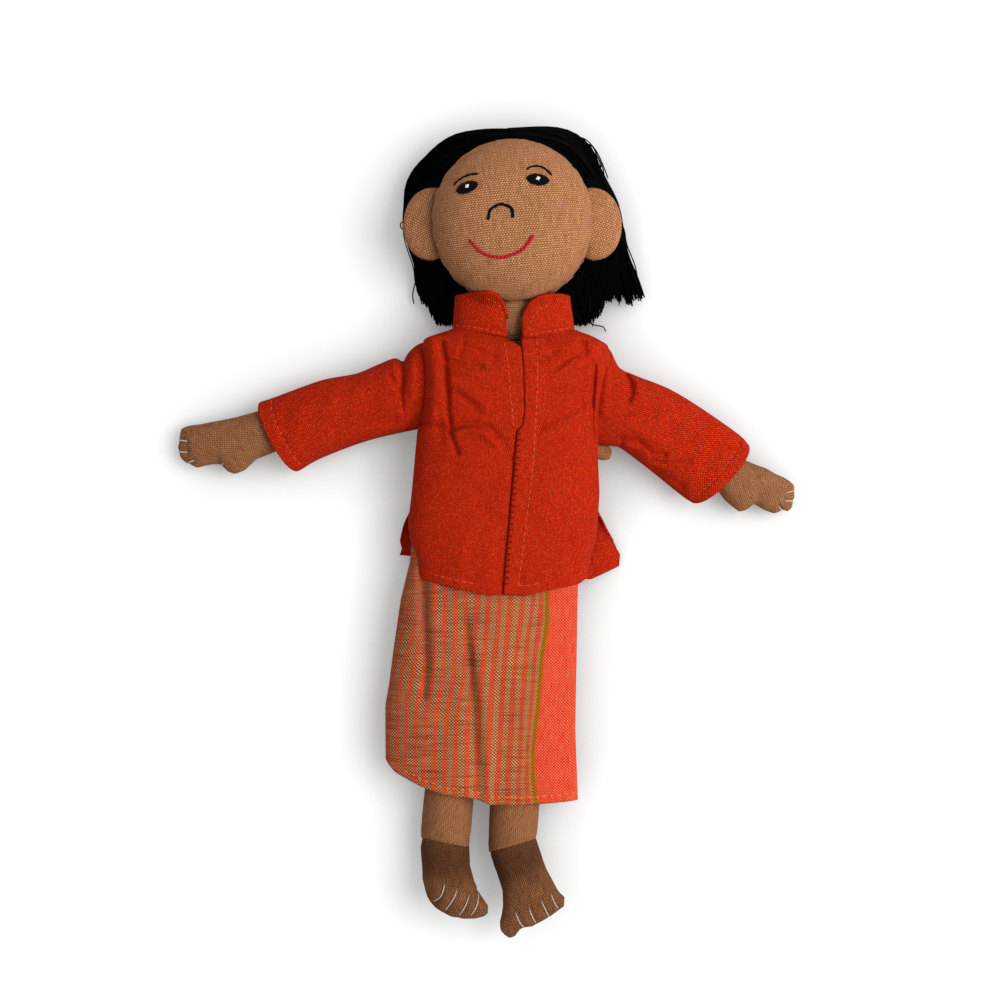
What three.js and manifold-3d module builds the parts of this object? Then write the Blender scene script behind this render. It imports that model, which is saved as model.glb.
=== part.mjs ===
// A stuffed cloth doll lying on its back, in a long-sleeved shirt and a wrap skirt.
// Millimetres: X to the doll's own left, Y towards its head, Z up out of its front.
import * as THREE from 'three';
import { mergeVertices } from 'three/addons/utils/BufferGeometryUtils.js';
import Module from 'manifold-3d';

const wasm = await Module();
wasm.setup();

// Cloth walls and the gaps between pieces
const gap = 0.3;
const seatGap = 0.5;
const skinWall = 0.8;
const shirtWall = 1.1;
const sleeveWall = 1.0;
const skirtWall = 1.1;
const bandWall = 1.6;
const threadLift = 0.7;
const restDepth = 0.5;

// Fullness of the sections: 2 is an ellipse, more is boxier
const torsoPower = 2.4;
const garmentPower = 2.6;
const headPower = 2.3;
const capPower = 3;

// Torso: closed bag of skin cloth, leaning a little from hips to neck
const hipX = 4;
const neckX = 10.8;
const torsoTop = 70.3;
const torsoBottom = -27;
const shoulderY = 54;
const waistY = 6;
const torsoHalf = 27.5;
const hipHalf = 26;
const chestFront = 31;
const hipFront = 22.8;
const torsoBack = 3;

// Neck and head
const neckRadius = 7;
const neckZ = 17;
const neckRise = 12;
const neckY = torsoTop + gap + neckRadius;
const headX = 9.8;
const headY = 113.8;
const headZ = 25.5;
const headRadius = 29.6;
const headHalf = 22.5;
const earReach = 40.1;
const earHalf = 10.4;
const earHeight = 13.3;
const earDepth = 5;
const sewHole = 4;

// Hair: black thread, a thick cap with hanging locks
const hairHalfWidth = 39.5;
const hairTop = 36.1;
const hairFront = 31;
const lockTop = 99;
const lockHeight = 13;
const napeHeight = 6;

// Face embroidery
const eyeHalf = [3.9, 2.4];
const glintRadius = 1.1;
const browWidth = 0.9;
const noseWidth = 1.1;
const mouthWidth = 1.2;

// Arms: one stuffed tube each, from a round root to a mitten hand
const rootRadius = 8;
const shoulderZ = 12.5;
const wristZ = 8.8;
const handZ = 6.6;
const armHalf = 8.3;
const wristHalf = 8.2;
const palmHalf = 8.8;
const armThick = 6.3;
const palmThick = 5.8;
const thumbRadius = 4.6;
const wristLeft = [91.2, 20.2];
const wristRight = [-80.5, 38.2];
const fingertipLeft = [117.3, 12];
const fingertipRight = [-117.4, 31.8];
const thumbLeft = [98, 12.4];
const thumbRight = [-96.4, 26.8];
const stitchWidth = 0.8;
const stitchLength = 3.2;
const stitchIn = 3.4;
const fingerOffsets = [-4.6, -0.2, 4.2];
const thumbStitch = [[-98.2, 25.4], [-100.2, 25]];

// Shirt
const shirtTop = 74;
const shirtHem = -24;
const backHem = -14;
const shirtHalf = 34.4;
const hemHalf = 36.5;
const neckHalf = 23;
const shirtFront = 33;
const sideSeamZ = 13;
const slitTop = -4;
const placketWidth = 5.4;
const placketLift = 0.7;
const collarHeight = 13.4;
const collarFront = 31.5;
const collarBack = 6;
const collarWall = 1.5;
const collarGapLow = 3;
const collarGapHigh = 6.2;
const armholeHalf = [18, 10.5];
const armholeIn = 24;
const chestFoldDepth = 1.1;
const chestFoldX = -15;
const placketFoldDepth = 0.5;
const placketFoldX = 21;
const tailRoot = 20;
const tailReach = 8;

// Sleeves
const sleeveHalf = 16.6;
const sleeveThick = 11.3;
const cuffHalf = 15.2;
const cuffThick = 8.3;
const cuffLeft = [89.4, 21.6];
const cuffRight = [-78.6, 36.3];
const sleeveWave = 1.1;
const sleeveWavelength = 15;
const sleeveWaveY = 36;
const sleeveWaveSpread = 9;

// Skirt
const skirtTop = 0;
const skirtHem = 99.8;
const bandHeight = 12;
const skirtHalf = 31;
const skirtHemHalf = 36.6;
const skirtFrontTop = 29;
const skirtFrontHem = 23.4;
const wrapStart = 12;
const wrapOverlap = 48;
const wrapTuck = 1.6;
const creaseDepth = 1.4;
const sideFoldDepth = 0.8;
const sideFoldX = -24;

// Legs and feet
const hipY = torsoBottom - gap - 9;
const legZ = 10.6;
const legRadius = 9;
const thighHalf = 9.6;
const kneeHalf = 9.1;
const hipSpread = 12.5;
const ankleY = -113.6;
const ankleRadius = 9.2;
const ankleSwing = 25;
const heelHalf = 9.4;
const heelDrop = 6;
const toeHalf = 12.6;
const heelThick = 7.8;
const toeThick = 5.6;
const bigToe = 4.8;
const ankleLeftX = 9.8;
const ankleRightX = -15.3;
const toesLeft = [18.8, -144, 25];
const toesRight = [-10.5, -138.4, 25.4];
const bigToeLeft = [9.4, -144.4, 24.2];
const bigToeRight = [-3.8, -134.6, 23.8];
const toeStitchLow = 19;

// Colours of the real materials
const skinColour = 0xa0714c;
const shirtColour = 0xc8330f;
const skirtColour = 0xc8683f;
const hairColour = 0x0a0a0a;
const threadColour = 0xd8d0c8;
const mouthColour = 0xc8102e;
const stuffingColour = 0xefece4;

const v3 = (x, y, z) => new THREE.Vector3(x, y, z);
const rad = THREE.MathUtils.degToRad;
const midline = (y) => hipX + (neckX - hipX) * (y - hipY) / (neckY - hipY);

// Smooth values between the stations of a list [[place, value], ...] in rising order
function between(stations, place) {
  if (place <= stations[0][0]) return stations[0][1];
  for (let i = 1; i < stations.length; i += 1) {
    const [from, low] = stations[i - 1];
    const [to, high] = stations[i];
    if (place <= to) return low + (high - low) * THREE.MathUtils.smoothstep(place, from, to);
  }
  return stations.at(-1)[1];
}

// A solid from a closed geometry, turned so that its faces point out
function solid(geometry) {
  const plain = geometry.clone();
  plain.deleteAttribute('normal');
  plain.deleteAttribute('uv');
  const merged = mergeVertices(plain, 1e-4);
  const place = merged.getAttribute('position');
  const corners = Uint32Array.from(merged.index.array);
  let volume = 0;
  const [a, b, c] = [v3(), v3(), v3()];
  for (let i = 0; i < corners.length; i += 3) {
    a.fromBufferAttribute(place, corners[i]);
    b.fromBufferAttribute(place, corners[i + 1]);
    c.fromBufferAttribute(place, corners[i + 2]);
    volume += a.dot(b.cross(c));
  }
  if (volume < 0) corners.reverse();
  const vertProperties = Float32Array.from(place.array);
  return new wasm.Manifold(new wasm.Mesh({ numProp: 3, vertProperties, triVerts: corners }));
}

// Rings of equal length joined in order; ends closed by a fan, or ring to ring where the loop closes
function skinned(rings, looped = false) {
  const sides = rings[0].length;
  const points = rings.flat();
  const faces = [];
  const last = looped ? rings.length : rings.length - 1;
  for (let i = 0; i < last; i += 1) {
    const next = (i + 1) % rings.length;
    for (let j = 0; j < sides; j += 1) {
      const side = (j + 1) % sides;
      const [p, q, r, s] = [i * sides + j, i * sides + side, next * sides + side, next * sides + j];
      faces.push(p, q, r, p, r, s);
    }
  }
  if (!looped) {
    for (const [start, flip] of [[0, true], [(rings.length - 1) * sides, false]]) {
      const middle = v3();
      for (let j = 0; j < sides; j += 1) middle.add(points[start + j]);
      points.push(middle.divideScalar(sides));
      for (let j = 0; j < sides; j += 1) {
        const pair = [start + j, start + (j + 1) % sides];
        if (flip) pair.reverse();
        faces.push(points.length - 1, ...pair);
      }
    }
  }
  const geometry = new THREE.BufferGeometry().setFromPoints(points);
  geometry.setIndex(faces);
  return geometry;
}

// One point of a rounded section: row gives the centre line x, the half width and the front and back heights
function sectionPoint(row, angle, inset, power) {
  const [c, s] = [Math.cos(angle), Math.sin(angle)];
  const middle = (row.front + row.back) / 2;
  const high = (row.front - row.back) / 2 - inset;
  const along = Math.sign(c) * Math.abs(c) ** (2 / power) * (row.half - inset);
  const up = Math.sign(s) * Math.abs(s) ** (2 / power) * high;
  return v3(row.x + along, row.y, middle + up);
}

function ring(row, sides, inset, power, drape) {
  const points = [];
  for (let j = 0; j < sides; j += 1) {
    const point = sectionPoint(row, 2 * Math.PI * j / sides, inset, power);
    point.z -= drape(point);
    points.push(point);
  }
  return points;
}

const smooth = () => 0;

// A closed bag from rows along Y, drawn in all round by the inset
function bag(rows, sides, inset = 0, power = torsoPower, drape = smooth) {
  const ends = [rows[0].y, rows.at(-1).y];
  const [low, high] = [Math.min(...ends) + inset, Math.max(...ends) - inset];
  const trimmed = rows.map((row) => ({ ...row, y: THREE.MathUtils.clamp(row.y, low, high) }));
  return solid(skinned(trimmed.map((row) => ring(row, sides, inset, power, drape))));
}

// An open tube of cloth from rows along Y
function tube(rows, sides, wall, drape = smooth) {
  const outer = rows.map((row) => ring(row, sides, 0, garmentPower, drape));
  const inner = rows.map((row) => ring(row, sides, wall, garmentPower, drape)).reverse();
  return solid(skinned([...outer, ...inner], true));
}

// Share of the full section near a rounded end, as in a circle; no dome means a cut end
const tipShare = 0.12;
function domed(distance, dome) {
  const share = dome ? THREE.MathUtils.clamp(distance / dome, 0, 1) : 1;
  return Math.sqrt(1 - (1 - share) ** 2);
}

// Sections across a spine: half width in the plane, half height up from it, rounded at the ends
function limbRings(limb, sides, steps, inset) {
  const curve = new THREE.CatmullRomCurve3(limb.spine);
  const length = curve.getLength();
  const run = length - 2 * inset;
  const rings = [];
  for (let i = 0; i <= steps; i += 1) {
    const share = (1 - Math.cos(Math.PI * i / steps)) / 2;
    const distance = inset + run * share;
    const u = distance / length;
    const centre = curve.getPointAt(u);
    const along = curve.getTangentAt(u);
    const side = v3(0, 0, 1).cross(along).normalize();
    const up = along.clone().cross(side).normalize();
    const round = domed(distance - inset, limb.domes[0]) * domed(length - inset - distance, limb.domes[1]);
    const wide = (between(limb.wide, u) - inset) * Math.max(round, tipShare);
    const high = (between(limb.high, u) - inset) * Math.max(round, tipShare);
    const points = [];
    for (let j = 0; j < sides; j += 1) {
      const angle = 2 * Math.PI * j / sides;
      const point = centre.clone().addScaledVector(side, wide * Math.cos(angle));
      points.push(point.addScaledVector(up, high * Math.sin(angle)));
    }
    rings.push(points);
  }
  return rings;
}

// The same limb with fatter sections
function thicker(limb, grow) {
  const grown = (stations) => stations.map(([place, half]) => [place, half + grow]);
  return { ...limb, wide: grown(limb.wide), high: grown(limb.high) };
}

// A thin layer of thread on a solid's upper side, clear of it by the gap on a slope of 45 degrees
const lyingOn = (shape) => shape.translate([0, 0, gap * 1.5 + threadLift])
  .subtract(shape.translate([0, 0, gap * 1.5]));

const limbSolid = (limb, sides, steps, inset = 0) => solid(skinned(limbRings(limb, sides, steps, inset)));

const ball = (centre, radii, sides = ballSides) => {
  const geometry = new THREE.SphereGeometry(1, sides, sides / 2);
  geometry.scale(...radii);
  geometry.translate(centre.x, centre.y, centre.z);
  return solid(geometry);
};

// A box between two corners
function block(low, high) {
  const geometry = new THREE.BoxGeometry(high[0] - low[0], high[1] - low[1], high[2] - low[2]);
  geometry.translate((low[0] + high[0]) / 2, (low[1] + high[1]) / 2, (low[2] + high[2]) / 2);
  return solid(geometry);
}

const far = 400;
const aboveFloor = block([-far, -far, 0], [far, far, far]);
const onFloor = (shape) => shape.intersect(aboveFloor);

// An outline in the XY plane, extruded from one height to another
function prism(outline, low, high) {
  const shape = new THREE.Shape(outline.map(([x, y]) => new THREE.Vector2(x, y)));
  const geometry = new THREE.ExtrudeGeometry(shape, { depth: high - low, bevelEnabled: false });
  geometry.translate(0, 0, low);
  return solid(geometry);
}

// A stroke of even width along a line of points in the XY plane
function stroke(points, width) {
  const flat = points.map(([x, y]) => new THREE.Vector2(x, y));
  const sides = [[], []];
  flat.forEach((point, i) => {
    const before = flat[Math.max(i - 1, 0)];
    const after = flat[Math.min(i + 1, flat.length - 1)];
    const run = after.clone().sub(before).normalize().multiplyScalar(width / 2);
    sides[0].push([point.x - run.y, point.y + run.x]);
    sides[1].push([point.x + run.y, point.y - run.x]);
  });
  return [...sides[0], ...sides[1].reverse()];
}

// A curve in the XY plane through a few points, as a list of more points
function bow(points, steps) {
  const curve = new THREE.CatmullRomCurve3(points.map(([x, y]) => v3(x, y, 0)));
  return curve.getPoints(steps).map((point) => [point.x, point.y]);
}

// An upright tilted ellipse in the XY plane
function oval(centre, halves, tilt, steps = 14) {
  const points = [];
  for (let i = 0; i < steps; i += 1) {
    const angle = 2 * Math.PI * i / steps;
    const [x, y] = [halves[0] * Math.cos(angle), halves[1] * Math.sin(angle)];
    points.push([
      centre[0] + x * Math.cos(tilt) - y * Math.sin(tilt),
      centre[1] + x * Math.sin(tilt) + y * Math.cos(tilt),
    ]);
  }
  return points;
}

// A rod between two points
function rod(from, to, radius, sides = 12) {
  const geometry = new THREE.CylinderGeometry(radius, radius, from.distanceTo(to), sides);
  const turn = new THREE.Quaternion().setFromUnitVectors(v3(0, 1, 0), to.clone().sub(from).normalize());
  geometry.applyQuaternion(turn);
  const middle = from.clone().add(to).divideScalar(2);
  geometry.translate(middle.x, middle.y, middle.z);
  return solid(geometry);
}

// Facets round each kind of piece: a filling has those of the bag that holds it
const torsoSides = 20;
const headSides = 24;
const headSteps = 7;
const limbSides = 12;
const limbSteps = 9;
const garmentSides = 28;
const ballSides = 10;

const doll = new THREE.Group();

function add(name, shape, colour, roughness = 0.95) {
  const { vertProperties, triVerts } = shape.getMesh();
  const geometry = new THREE.BufferGeometry();
  geometry.setAttribute('position', new THREE.BufferAttribute(vertProperties, 3));
  geometry.setIndex(new THREE.BufferAttribute(triVerts, 1));
  const material = new THREE.MeshStandardMaterial({ color: colour, roughness, metalness: 0 });
  const mesh = new THREE.Mesh(geometry, material);
  mesh.name = name;
  doll.add(mesh);
}

// Torso bag with its filling
const torsoRow = (y, half, front, back) => ({ y, x: midline(y), half, front, back });
const torsoRows = [
  torsoRow(torsoTop, torsoHalf * 0.5, chestFront - 7, torsoBack + 6),
  torsoRow(torsoTop - 3.5, torsoHalf * 0.84, chestFront - 2.5, torsoBack + 2),
  torsoRow(torsoTop - 9, torsoHalf * 0.98, chestFront - 0.6, torsoBack + 0.3),
  torsoRow(shoulderY, torsoHalf, chestFront, torsoBack),
  torsoRow(shoulderY - 25, torsoHalf * 1.01, chestFront - 0.3, torsoBack),
  torsoRow(waistY + 8, torsoHalf * 0.98, (chestFront + hipFront) / 2 + 1.5, torsoBack),
  torsoRow(waistY - 8, hipHalf, hipFront + 2.4, torsoBack),
  torsoRow(torsoBottom + 6, hipHalf * 0.99, hipFront, torsoBack + 0.3),
  torsoRow(torsoBottom + 1.5, hipHalf * 0.95, hipFront - 2, torsoBack + 2),
  torsoRow(torsoBottom, hipHalf * 0.88, hipFront - 4.5, torsoBack + 4.5),
];
const innerInset = skinWall + gap;
const neckCentre = v3(neckX, neckY, neckZ);
const neckHole = rod(v3(neckX, torsoTop - 4, neckZ), v3(neckX, torsoTop + 4, neckZ), sewHole);
const torsoShell = bag(torsoRows, torsoSides).subtract(bag(torsoRows, torsoSides, skinWall));
add('torso_skin', torsoShell.subtract(neckHole), skinColour);
add('torso_stuffing', bag(torsoRows, torsoSides, innerInset), stuffingColour);

// Head: two panels sewn round the edge, seen as a thick disc; the lathe's axis is turned to Z
function headProfile(grow, from, to, steps) {
  const points = [];
  for (let i = 0; i <= steps; i += 1) {
    const angle = rad(from + (to - from) * i / steps);
    const [c, s] = [Math.max(Math.cos(angle), 0), Math.sin(angle)];
    const reach = (headRadius + grow) * c ** (2 / headPower);
    points.push(new THREE.Vector2(reach, Math.sign(s) * Math.abs(s) ** (2 / headPower) * (headHalf + grow)));
  }
  return points;
}

function headLathe(profile, sides) {
  const geometry = new THREE.LatheGeometry(profile, sides);
  geometry.rotateX(Math.PI / 2);
  geometry.translate(headX, headY, headZ);
  return solid(geometry);
}

const headGrown = (grow) => headLathe(headProfile(grow, -90, 90, 2 * headSteps), headSides);
const headShell = headGrown(0).subtract(headGrown(-skinWall));
const neckSocket = rod(neckCentre, v3(neckX, headY, headZ), sewHole + 0.5);
const faceHalf = block([-far, -far, headZ + gap / 2], [far, far, far]);
const backHalf = block([-far, -far, -far], [far, far, headZ - gap / 2]);
add('head_face', headShell.intersect(faceHalf), skinColour);
add('head_back', headShell.intersect(backHalf).subtract(neckSocket), skinColour);
add('head_stuffing', headGrown(-innerInset), stuffingColour);
const headClear = headGrown(gap);

// Neck tube, ball-ended on the torso and cut to the head, with a wad of filling in it
const neckLimb = {
  spine: [v3(neckX, torsoTop + gap, neckZ), v3(neckX, neckY, neckZ), v3(neckX, neckY + neckRise, neckZ + 2)],
  wide: [[0, neckRadius], [1, neckRadius]],
  high: [[0, neckRadius], [1, neckRadius]],
  domes: [neckRadius, 0],
};
const neckMouth = rod(v3(neckX, torsoTop - 4, neckZ), neckCentre, sewHole - 0.5);
const neckTube = limbSolid(neckLimb, limbSides, 8).subtract(limbSolid(neckLimb, limbSides, 8, skinWall));
add('neck_skin', neckTube.subtract(neckMouth).subtract(headClear), skinColour);
const wad = neckRadius - skinWall - seatGap;
add('neck_stuffing', ball(neckCentre, [wad, wad, wad]).subtract(headClear), stuffingColour);

// Ears, cut to the head's edge
const earCentre = (side) => v3(headX + side * (earReach - earHalf), headY - 0.6, headZ);
const earSolid = (side, grow) => {
  const radii = [earHalf + grow, earHeight + grow, earDepth + grow];
  return ball(earCentre(side), radii, 12);
};
for (const [name, side] of [['ear_left', 1], ['ear_right', -1]]) {
  add(name, earSolid(side, 0).subtract(headClear), skinColour);
}
const earsClear = earSolid(1, seatGap).add(earSolid(-1, seatGap));

// Hair: a cap over the top and back of the head and locks down to the shoulders
const capRows = [0, 0.3, 0.55, 0.75, 0.9, 1].map((share) => ({
  y: headY + hairTop * share,
  x: headX - 0.3,
  half: Math.max(hairHalfWidth * Math.sqrt(1 - share * share), 7),
  front: hairFront - 6 * share * share,
  back: -restDepth + 9 * share * share,
}));
capRows.unshift({ ...capRows[0], y: lockTop });
const cap = bag(capRows, headSides, 0, capPower).subtract(headClear).subtract(earsClear);
const underEars = block([-far, -far, headZ - earDepth - 1], [far, headY + earHeight * 0.75, far]);
add('hair_crown', onFloor(cap.subtract(underEars)), hairColour, 0.7);

// Outlines of the locks beside the neck, from the cap down to their loose ends
const locks = {
  hair_left: [[34.6, 96], [34.6, 79.4], [41, 79.2], [45.6, 87.6], [59.4, 86.8], [55, 98.7], [36, 98.7]],
  hair_right: [[-14, 96], [-14, 78.8], [-20, 79], [-24.2, 88], [-28.6, 98.7], [-16, 98.7]],
  hair_nape: [[-13.6, 79.5], [34.2, 79.5], [34.2, 98.7], [-13.6, 98.7]],
};
for (const [name, outline] of Object.entries(locks)) {
  const high = name === 'hair_nape' ? napeHeight : lockHeight;
  const lock = prism(outline, 0, high).subtract(headClear).subtract(earsClear);
  add(name, lock, hairColour, 0.7);
}

// Embroidery: thin layers that follow the face
const faceLayer = (low, high) => headGrown(high).subtract(headGrown(low));
const threadLayer = faceLayer(gap, gap + threadLift);
const glintLayer = faceLayer(2 * gap + threadLift, 2 * gap + 2 * threadLift);
const sewn = (layer, outline) => prism(outline, headZ + 4, far / 2).intersect(layer);
const eyes = { left: { at: [18.8, 125.7], tilt: -8 }, right: { at: [-6.6, 123.2], tilt: 15 } };
const brows = {
  left: [[14.9, 129.4], [19.1, 130.6], [23.6, 127.7]],
  right: [[-11.4, 124.6], [-7.2, 127.6], [-2.7, 128.3]],
};
for (const side of ['left', 'right']) {
  const { at, tilt } = eyes[side];
  const glint = oval([at[0], at[1] + 0.3], [glintRadius, glintRadius], 0, 8);
  add(`eye_${side}`, sewn(threadLayer, oval(at, eyeHalf, rad(tilt))), hairColour, 0.5);
  add(`glint_${side}`, sewn(glintLayer, glint), threadColour);
  add(`brow_${side}`, sewn(threadLayer, stroke(bow(brows[side], 6), browWidth)), hairColour, 0.5);
}
const nose = bow([[0.9, 111], [2, 114.9], [5.6, 116.7], [9.2, 115.2], [9.8, 111.8]], 10);
add('nose_stitch', sewn(threadLayer, stroke(nose, noseWidth)), hairColour, 0.5);
const mouth = bow([[-5.9, 104.4], [-0.9, 99.6], [5.6, 98], [12.9, 100.4], [17.3, 105.8]], 12);
add('mouth_stitch', sewn(threadLayer, stroke(mouth, mouthWidth)), mouthColour, 0.6);

// Shirt body: rows of the outside, with a soft fold down each side of the front
const shirtRow = (y, half, front, back) => ({ y, x: midline(y), half, front, back });
const shirtRows = [
  shirtRow(shirtTop, neckHalf, collarFront, collarBack),
  shirtRow(shirtTop - 2, neckHalf + 5, collarFront + 0.5, 3),
  shirtRow(shirtTop - 4.5, shirtHalf - 1.8, shirtFront - 0.5, 0.5),
  shirtRow(shirtTop - 12, shirtHalf, shirtFront, -restDepth),
  shirtRow(36, shirtHalf, shirtFront, -restDepth),
  shirtRow(10, (shirtHalf + hemHalf) / 2, shirtFront - 0.2, -restDepth),
  shirtRow(-8, hemHalf, shirtFront - 1.6, -restDepth),
  shirtRow(shirtHem - 3, hemHalf, shirtFront - 3.6, -restDepth),
];
const shirtFold = (point) => {
  if (point.z < sideSeamZ) return 0;
  const chest = Math.exp(-(((point.x - chestFoldX) / 4) ** 2));
  const belly = Math.exp(-(((point.x - placketFoldX) / 5) ** 2));
  const up = THREE.MathUtils.smoothstep(point.y, 0, 60);
  const down = THREE.MathUtils.smoothstep(-point.y, -20, 20);
  return chestFoldDepth * chest * up + placketFoldDepth * belly * down;
};
const shirtTube = tube(shirtRows, garmentSides, shirtWall, shirtFold);
const shirtSolid = (grow) => bag(shirtRows, garmentSides, -grow, garmentPower, shirtFold);

// Arms: root ball beside the torso, wrist and fingertip from the photograph
const rootX = (side) => midline(shoulderY) + side * (torsoHalf + seatGap + rootRadius);
const arms = {
  left: {
    side: 1,
    wrist: v3(...wristLeft, wristZ),
    tip: v3(...fingertipLeft, handZ),
    thumb: v3(...thumbLeft, handZ),
    cuff: v3(...cuffLeft, wristZ),
  },
  right: {
    side: -1,
    wrist: v3(...wristRight, wristZ),
    tip: v3(...fingertipRight, handZ),
    thumb: v3(...thumbRight, handZ),
    cuff: v3(...cuffRight, wristZ),
  },
};

function armLimb(arm) {
  const centre = v3(rootX(arm.side), shoulderY, shoulderZ);
  const along = arm.wrist.clone().sub(centre).setZ(0).normalize();
  const start = centre.clone().addScaledVector(along, -rootRadius);
  const first = centre.clone().addScaledVector(along, rootRadius * 0.6);
  return {
    spine: [start, centre, first, arm.wrist, arm.tip],
    wide: [
      [0, rootRadius], [0.25, armHalf], [0.55, wristHalf],
      [0.72, wristHalf], [0.85, palmHalf], [1, palmHalf - 0.6],
    ],
    high: [[0, rootRadius], [0.3, armThick], [0.75, armThick], [1, palmThick]],
    domes: [rootRadius, 7],
    centre,
    along,
  };
}

for (const side of ['left', 'right']) {
  const arm = arms[side];
  const limb = armLimb(arm);
  const thumb = (inset) => {
    const reach = thumbRadius - inset;
    return ball(arm.thumb, [reach, reach * 1.05, palmThick - 1 - inset]);
  };
  const outer = limbSolid(limb, limbSides, limbSteps).add(thumb(0));
  const inner = limbSolid(limb, limbSides, limbSteps, skinWall).add(thumb(skinWall));
  const backwards = limb.centre.clone().addScaledVector(limb.along, -2 * rootRadius);
  const mouthRod = rod(backwards, limb.centre, sewHole);
  add(`arm_${side}_skin`, outer.subtract(inner).subtract(mouthRod), skinColour);
  add(`arm_${side}_stuffing`, limbSolid(limb, limbSides, limbSteps, innerInset), stuffingColour);

  // Three short stitches mark the fingers on the mitten's edge
  const layer = lyingOn(outer);
  const across = v3(-limb.along.y, limb.along.x, 0);
  for (const [i, offset] of fingerOffsets.entries()) {
    const outerEnd = arm.tip.clone().addScaledVector(across, offset).addScaledVector(limb.along, -stitchIn);
    const innerEnd = outerEnd.clone().addScaledVector(limb.along, -stitchLength);
    const line = stroke([[innerEnd.x, innerEnd.y], [outerEnd.x, outerEnd.y]], stitchWidth);
    add(`finger_stitch_${side}_${i + 1}`, prism(line, handZ, far / 2).intersect(layer), threadColour);
  }

  // One more parts the thumb from the palm of the right hand
  if (side === 'right') {
    const line = stroke(thumbStitch, stitchWidth);
    add('thumb_stitch_right', prism(line, handZ, far / 2).intersect(layer), threadColour);
  }

  // Sleeve: a flattened tube from the armhole to the wrist, cut to the shirt's side
  const shirtSide = midline(shoulderY) + arm.side * (shirtHalf - 4);
  const sleeve = {
    spine: [v3(shirtSide, shoulderY - 0.5, shoulderZ), arm.cuff],
    wide: [[0, sleeveHalf], [0.35, sleeveHalf - 1.2], [1, cuffHalf]],
    high: [[0, sleeveThick], [0.4, sleeveThick - 1.6], [1, cuffThick]],
    domes: [0, 0],
  };
  const outside = limbRings(sleeve, garmentSides - 12, 7, 0);
  const inside = limbRings(thicker(sleeve, -sleeveWall), garmentSides - 12, 7, 0).reverse();
  for (const point of [...outside.flat(), ...inside.flat()]) {
    const wave = sleeveWave * Math.sin(2 * Math.PI * point.x / sleeveWavelength);
    const near = Math.exp(-(((point.y - sleeveWaveY) / sleeveWaveSpread) ** 2));
    if (point.z > shoulderZ) point.z -= wave * near;
  }
  const cloth = solid(skinned([...outside, ...inside], true));
  add(`sleeve_${side}`, onFloor(cloth.subtract(shirtSolid(gap))), shirtColour, 0.9);
}

// Armholes through both sides of the shirt body
const armholePrism = prism(oval([0, 0], armholeHalf, 0, 20), -far / 4, far / 4);
const armhole = armholePrism.rotate([0, 90, 0]).rotate([90, 0, 0]);
const armholes = armhole.translate([midline(shoulderY), shoulderY - 2.5, shoulderZ]);
const middleKept = block([midline(0) - armholeIn, -far, -far], [midline(0) + armholeIn, far, far]);
const sideHoles = armholes.subtract(middleKept);

// Placket line down the front, from the collar to the hem
const placketLine = [[11.2, shirtTop + 3], [11.6, 66], [12.5, 36.4], [7, shirtHem - 4]];
const beside = (shift) => placketLine.map(([x, y]) => [x + shift, y]);
const leftOf = (shift) => [...beside(shift), [-far, shirtHem - 4], [-far, shirtTop + 3]];
const rightOf = (shift) => [...beside(shift), [far, shirtHem - 4], [far, shirtTop + 3]];

const seamRoom = gap / 2;
const frontZone = block([-far, shirtHem, sideSeamZ + seamRoom], [far, far, far]);
const backZone = block([-far, backHem, -far], [far, far, sideSeamZ - seamRoom]);
const slits = block([-far, -far, sideSeamZ - 3], [far, slitTop, sideSeamZ + 3]);
const opened = shirtTube.subtract(sideHoles).subtract(slits);
const front = opened.intersect(frontZone);
add('shirt_front_right', front.intersect(prism(leftOf(-seamRoom), -far / 2, far / 2)), shirtColour, 0.9);
add('shirt_front_left', front.intersect(prism(rightOf(seamRoom), -far / 2, far / 2)), shirtColour, 0.9);

// Back panel with its tail corners spread flat on either side
const tail = (side) => {
  const edge = midline(backHem) + side * (hemHalf - tailRoot);
  const tip = edge + side * (tailRoot + tailReach);
  const outline = [
    [edge, slitTop + 6], [edge, backHem],
    [tip, backHem + 1], [tip - side * 5, slitTop + 6],
  ];
  return prism(outline, 0, shirtWall);
};
const hollow = bag(shirtRows, garmentSides, shirtWall, garmentPower, shirtFold);
const tails = tail(1).add(tail(-1)).subtract(hollow);
add('shirt_back', onFloor(opened.intersect(backZone).add(tails)), shirtColour, 0.9);

const placketBand = [...beside(seamRoom + gap), ...beside(seamRoom + gap + placketWidth).reverse()];
const placketLayer = shirtSolid(gap + placketLift).subtract(shirtSolid(gap));
const placketZone = block([-far, shirtHem, shirtFront / 2], [far, shirtTop - 2, far]);
const placket = prism(placketBand, 0, far).intersect(placketLayer).intersect(placketZone);
add('shirt_placket', placket, shirtColour, 0.9);

// Stand-up collar, open at the front and cut to the chin
const collarRow = (y) => ({ y, x: midline(y) - 0.6, half: neckHalf, front: collarFront, back: collarBack });
const collarRows = [shirtTop + gap, shirtTop + collarHeight / 2, shirtTop + collarHeight].map(collarRow);
const collarRing = tube(collarRows, garmentSides, collarWall);
const openingX = placketLine[0][0];
const collarOpening = prism([
  [openingX - collarGapLow, shirtTop - 2], [openingX + collarGapLow, shirtTop - 2],
  [openingX + collarGapHigh, shirtTop + collarHeight + 1],
  [openingX - collarGapHigh, shirtTop + collarHeight + 1],
], neckZ, far / 2);
const neckClear = limbSolid(thicker(neckLimb, gap), limbSides, 8);
const collar = collarRing.subtract(collarOpening).subtract(headClear).subtract(neckClear);
add('shirt_collar', collar, shirtColour, 0.9);

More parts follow.
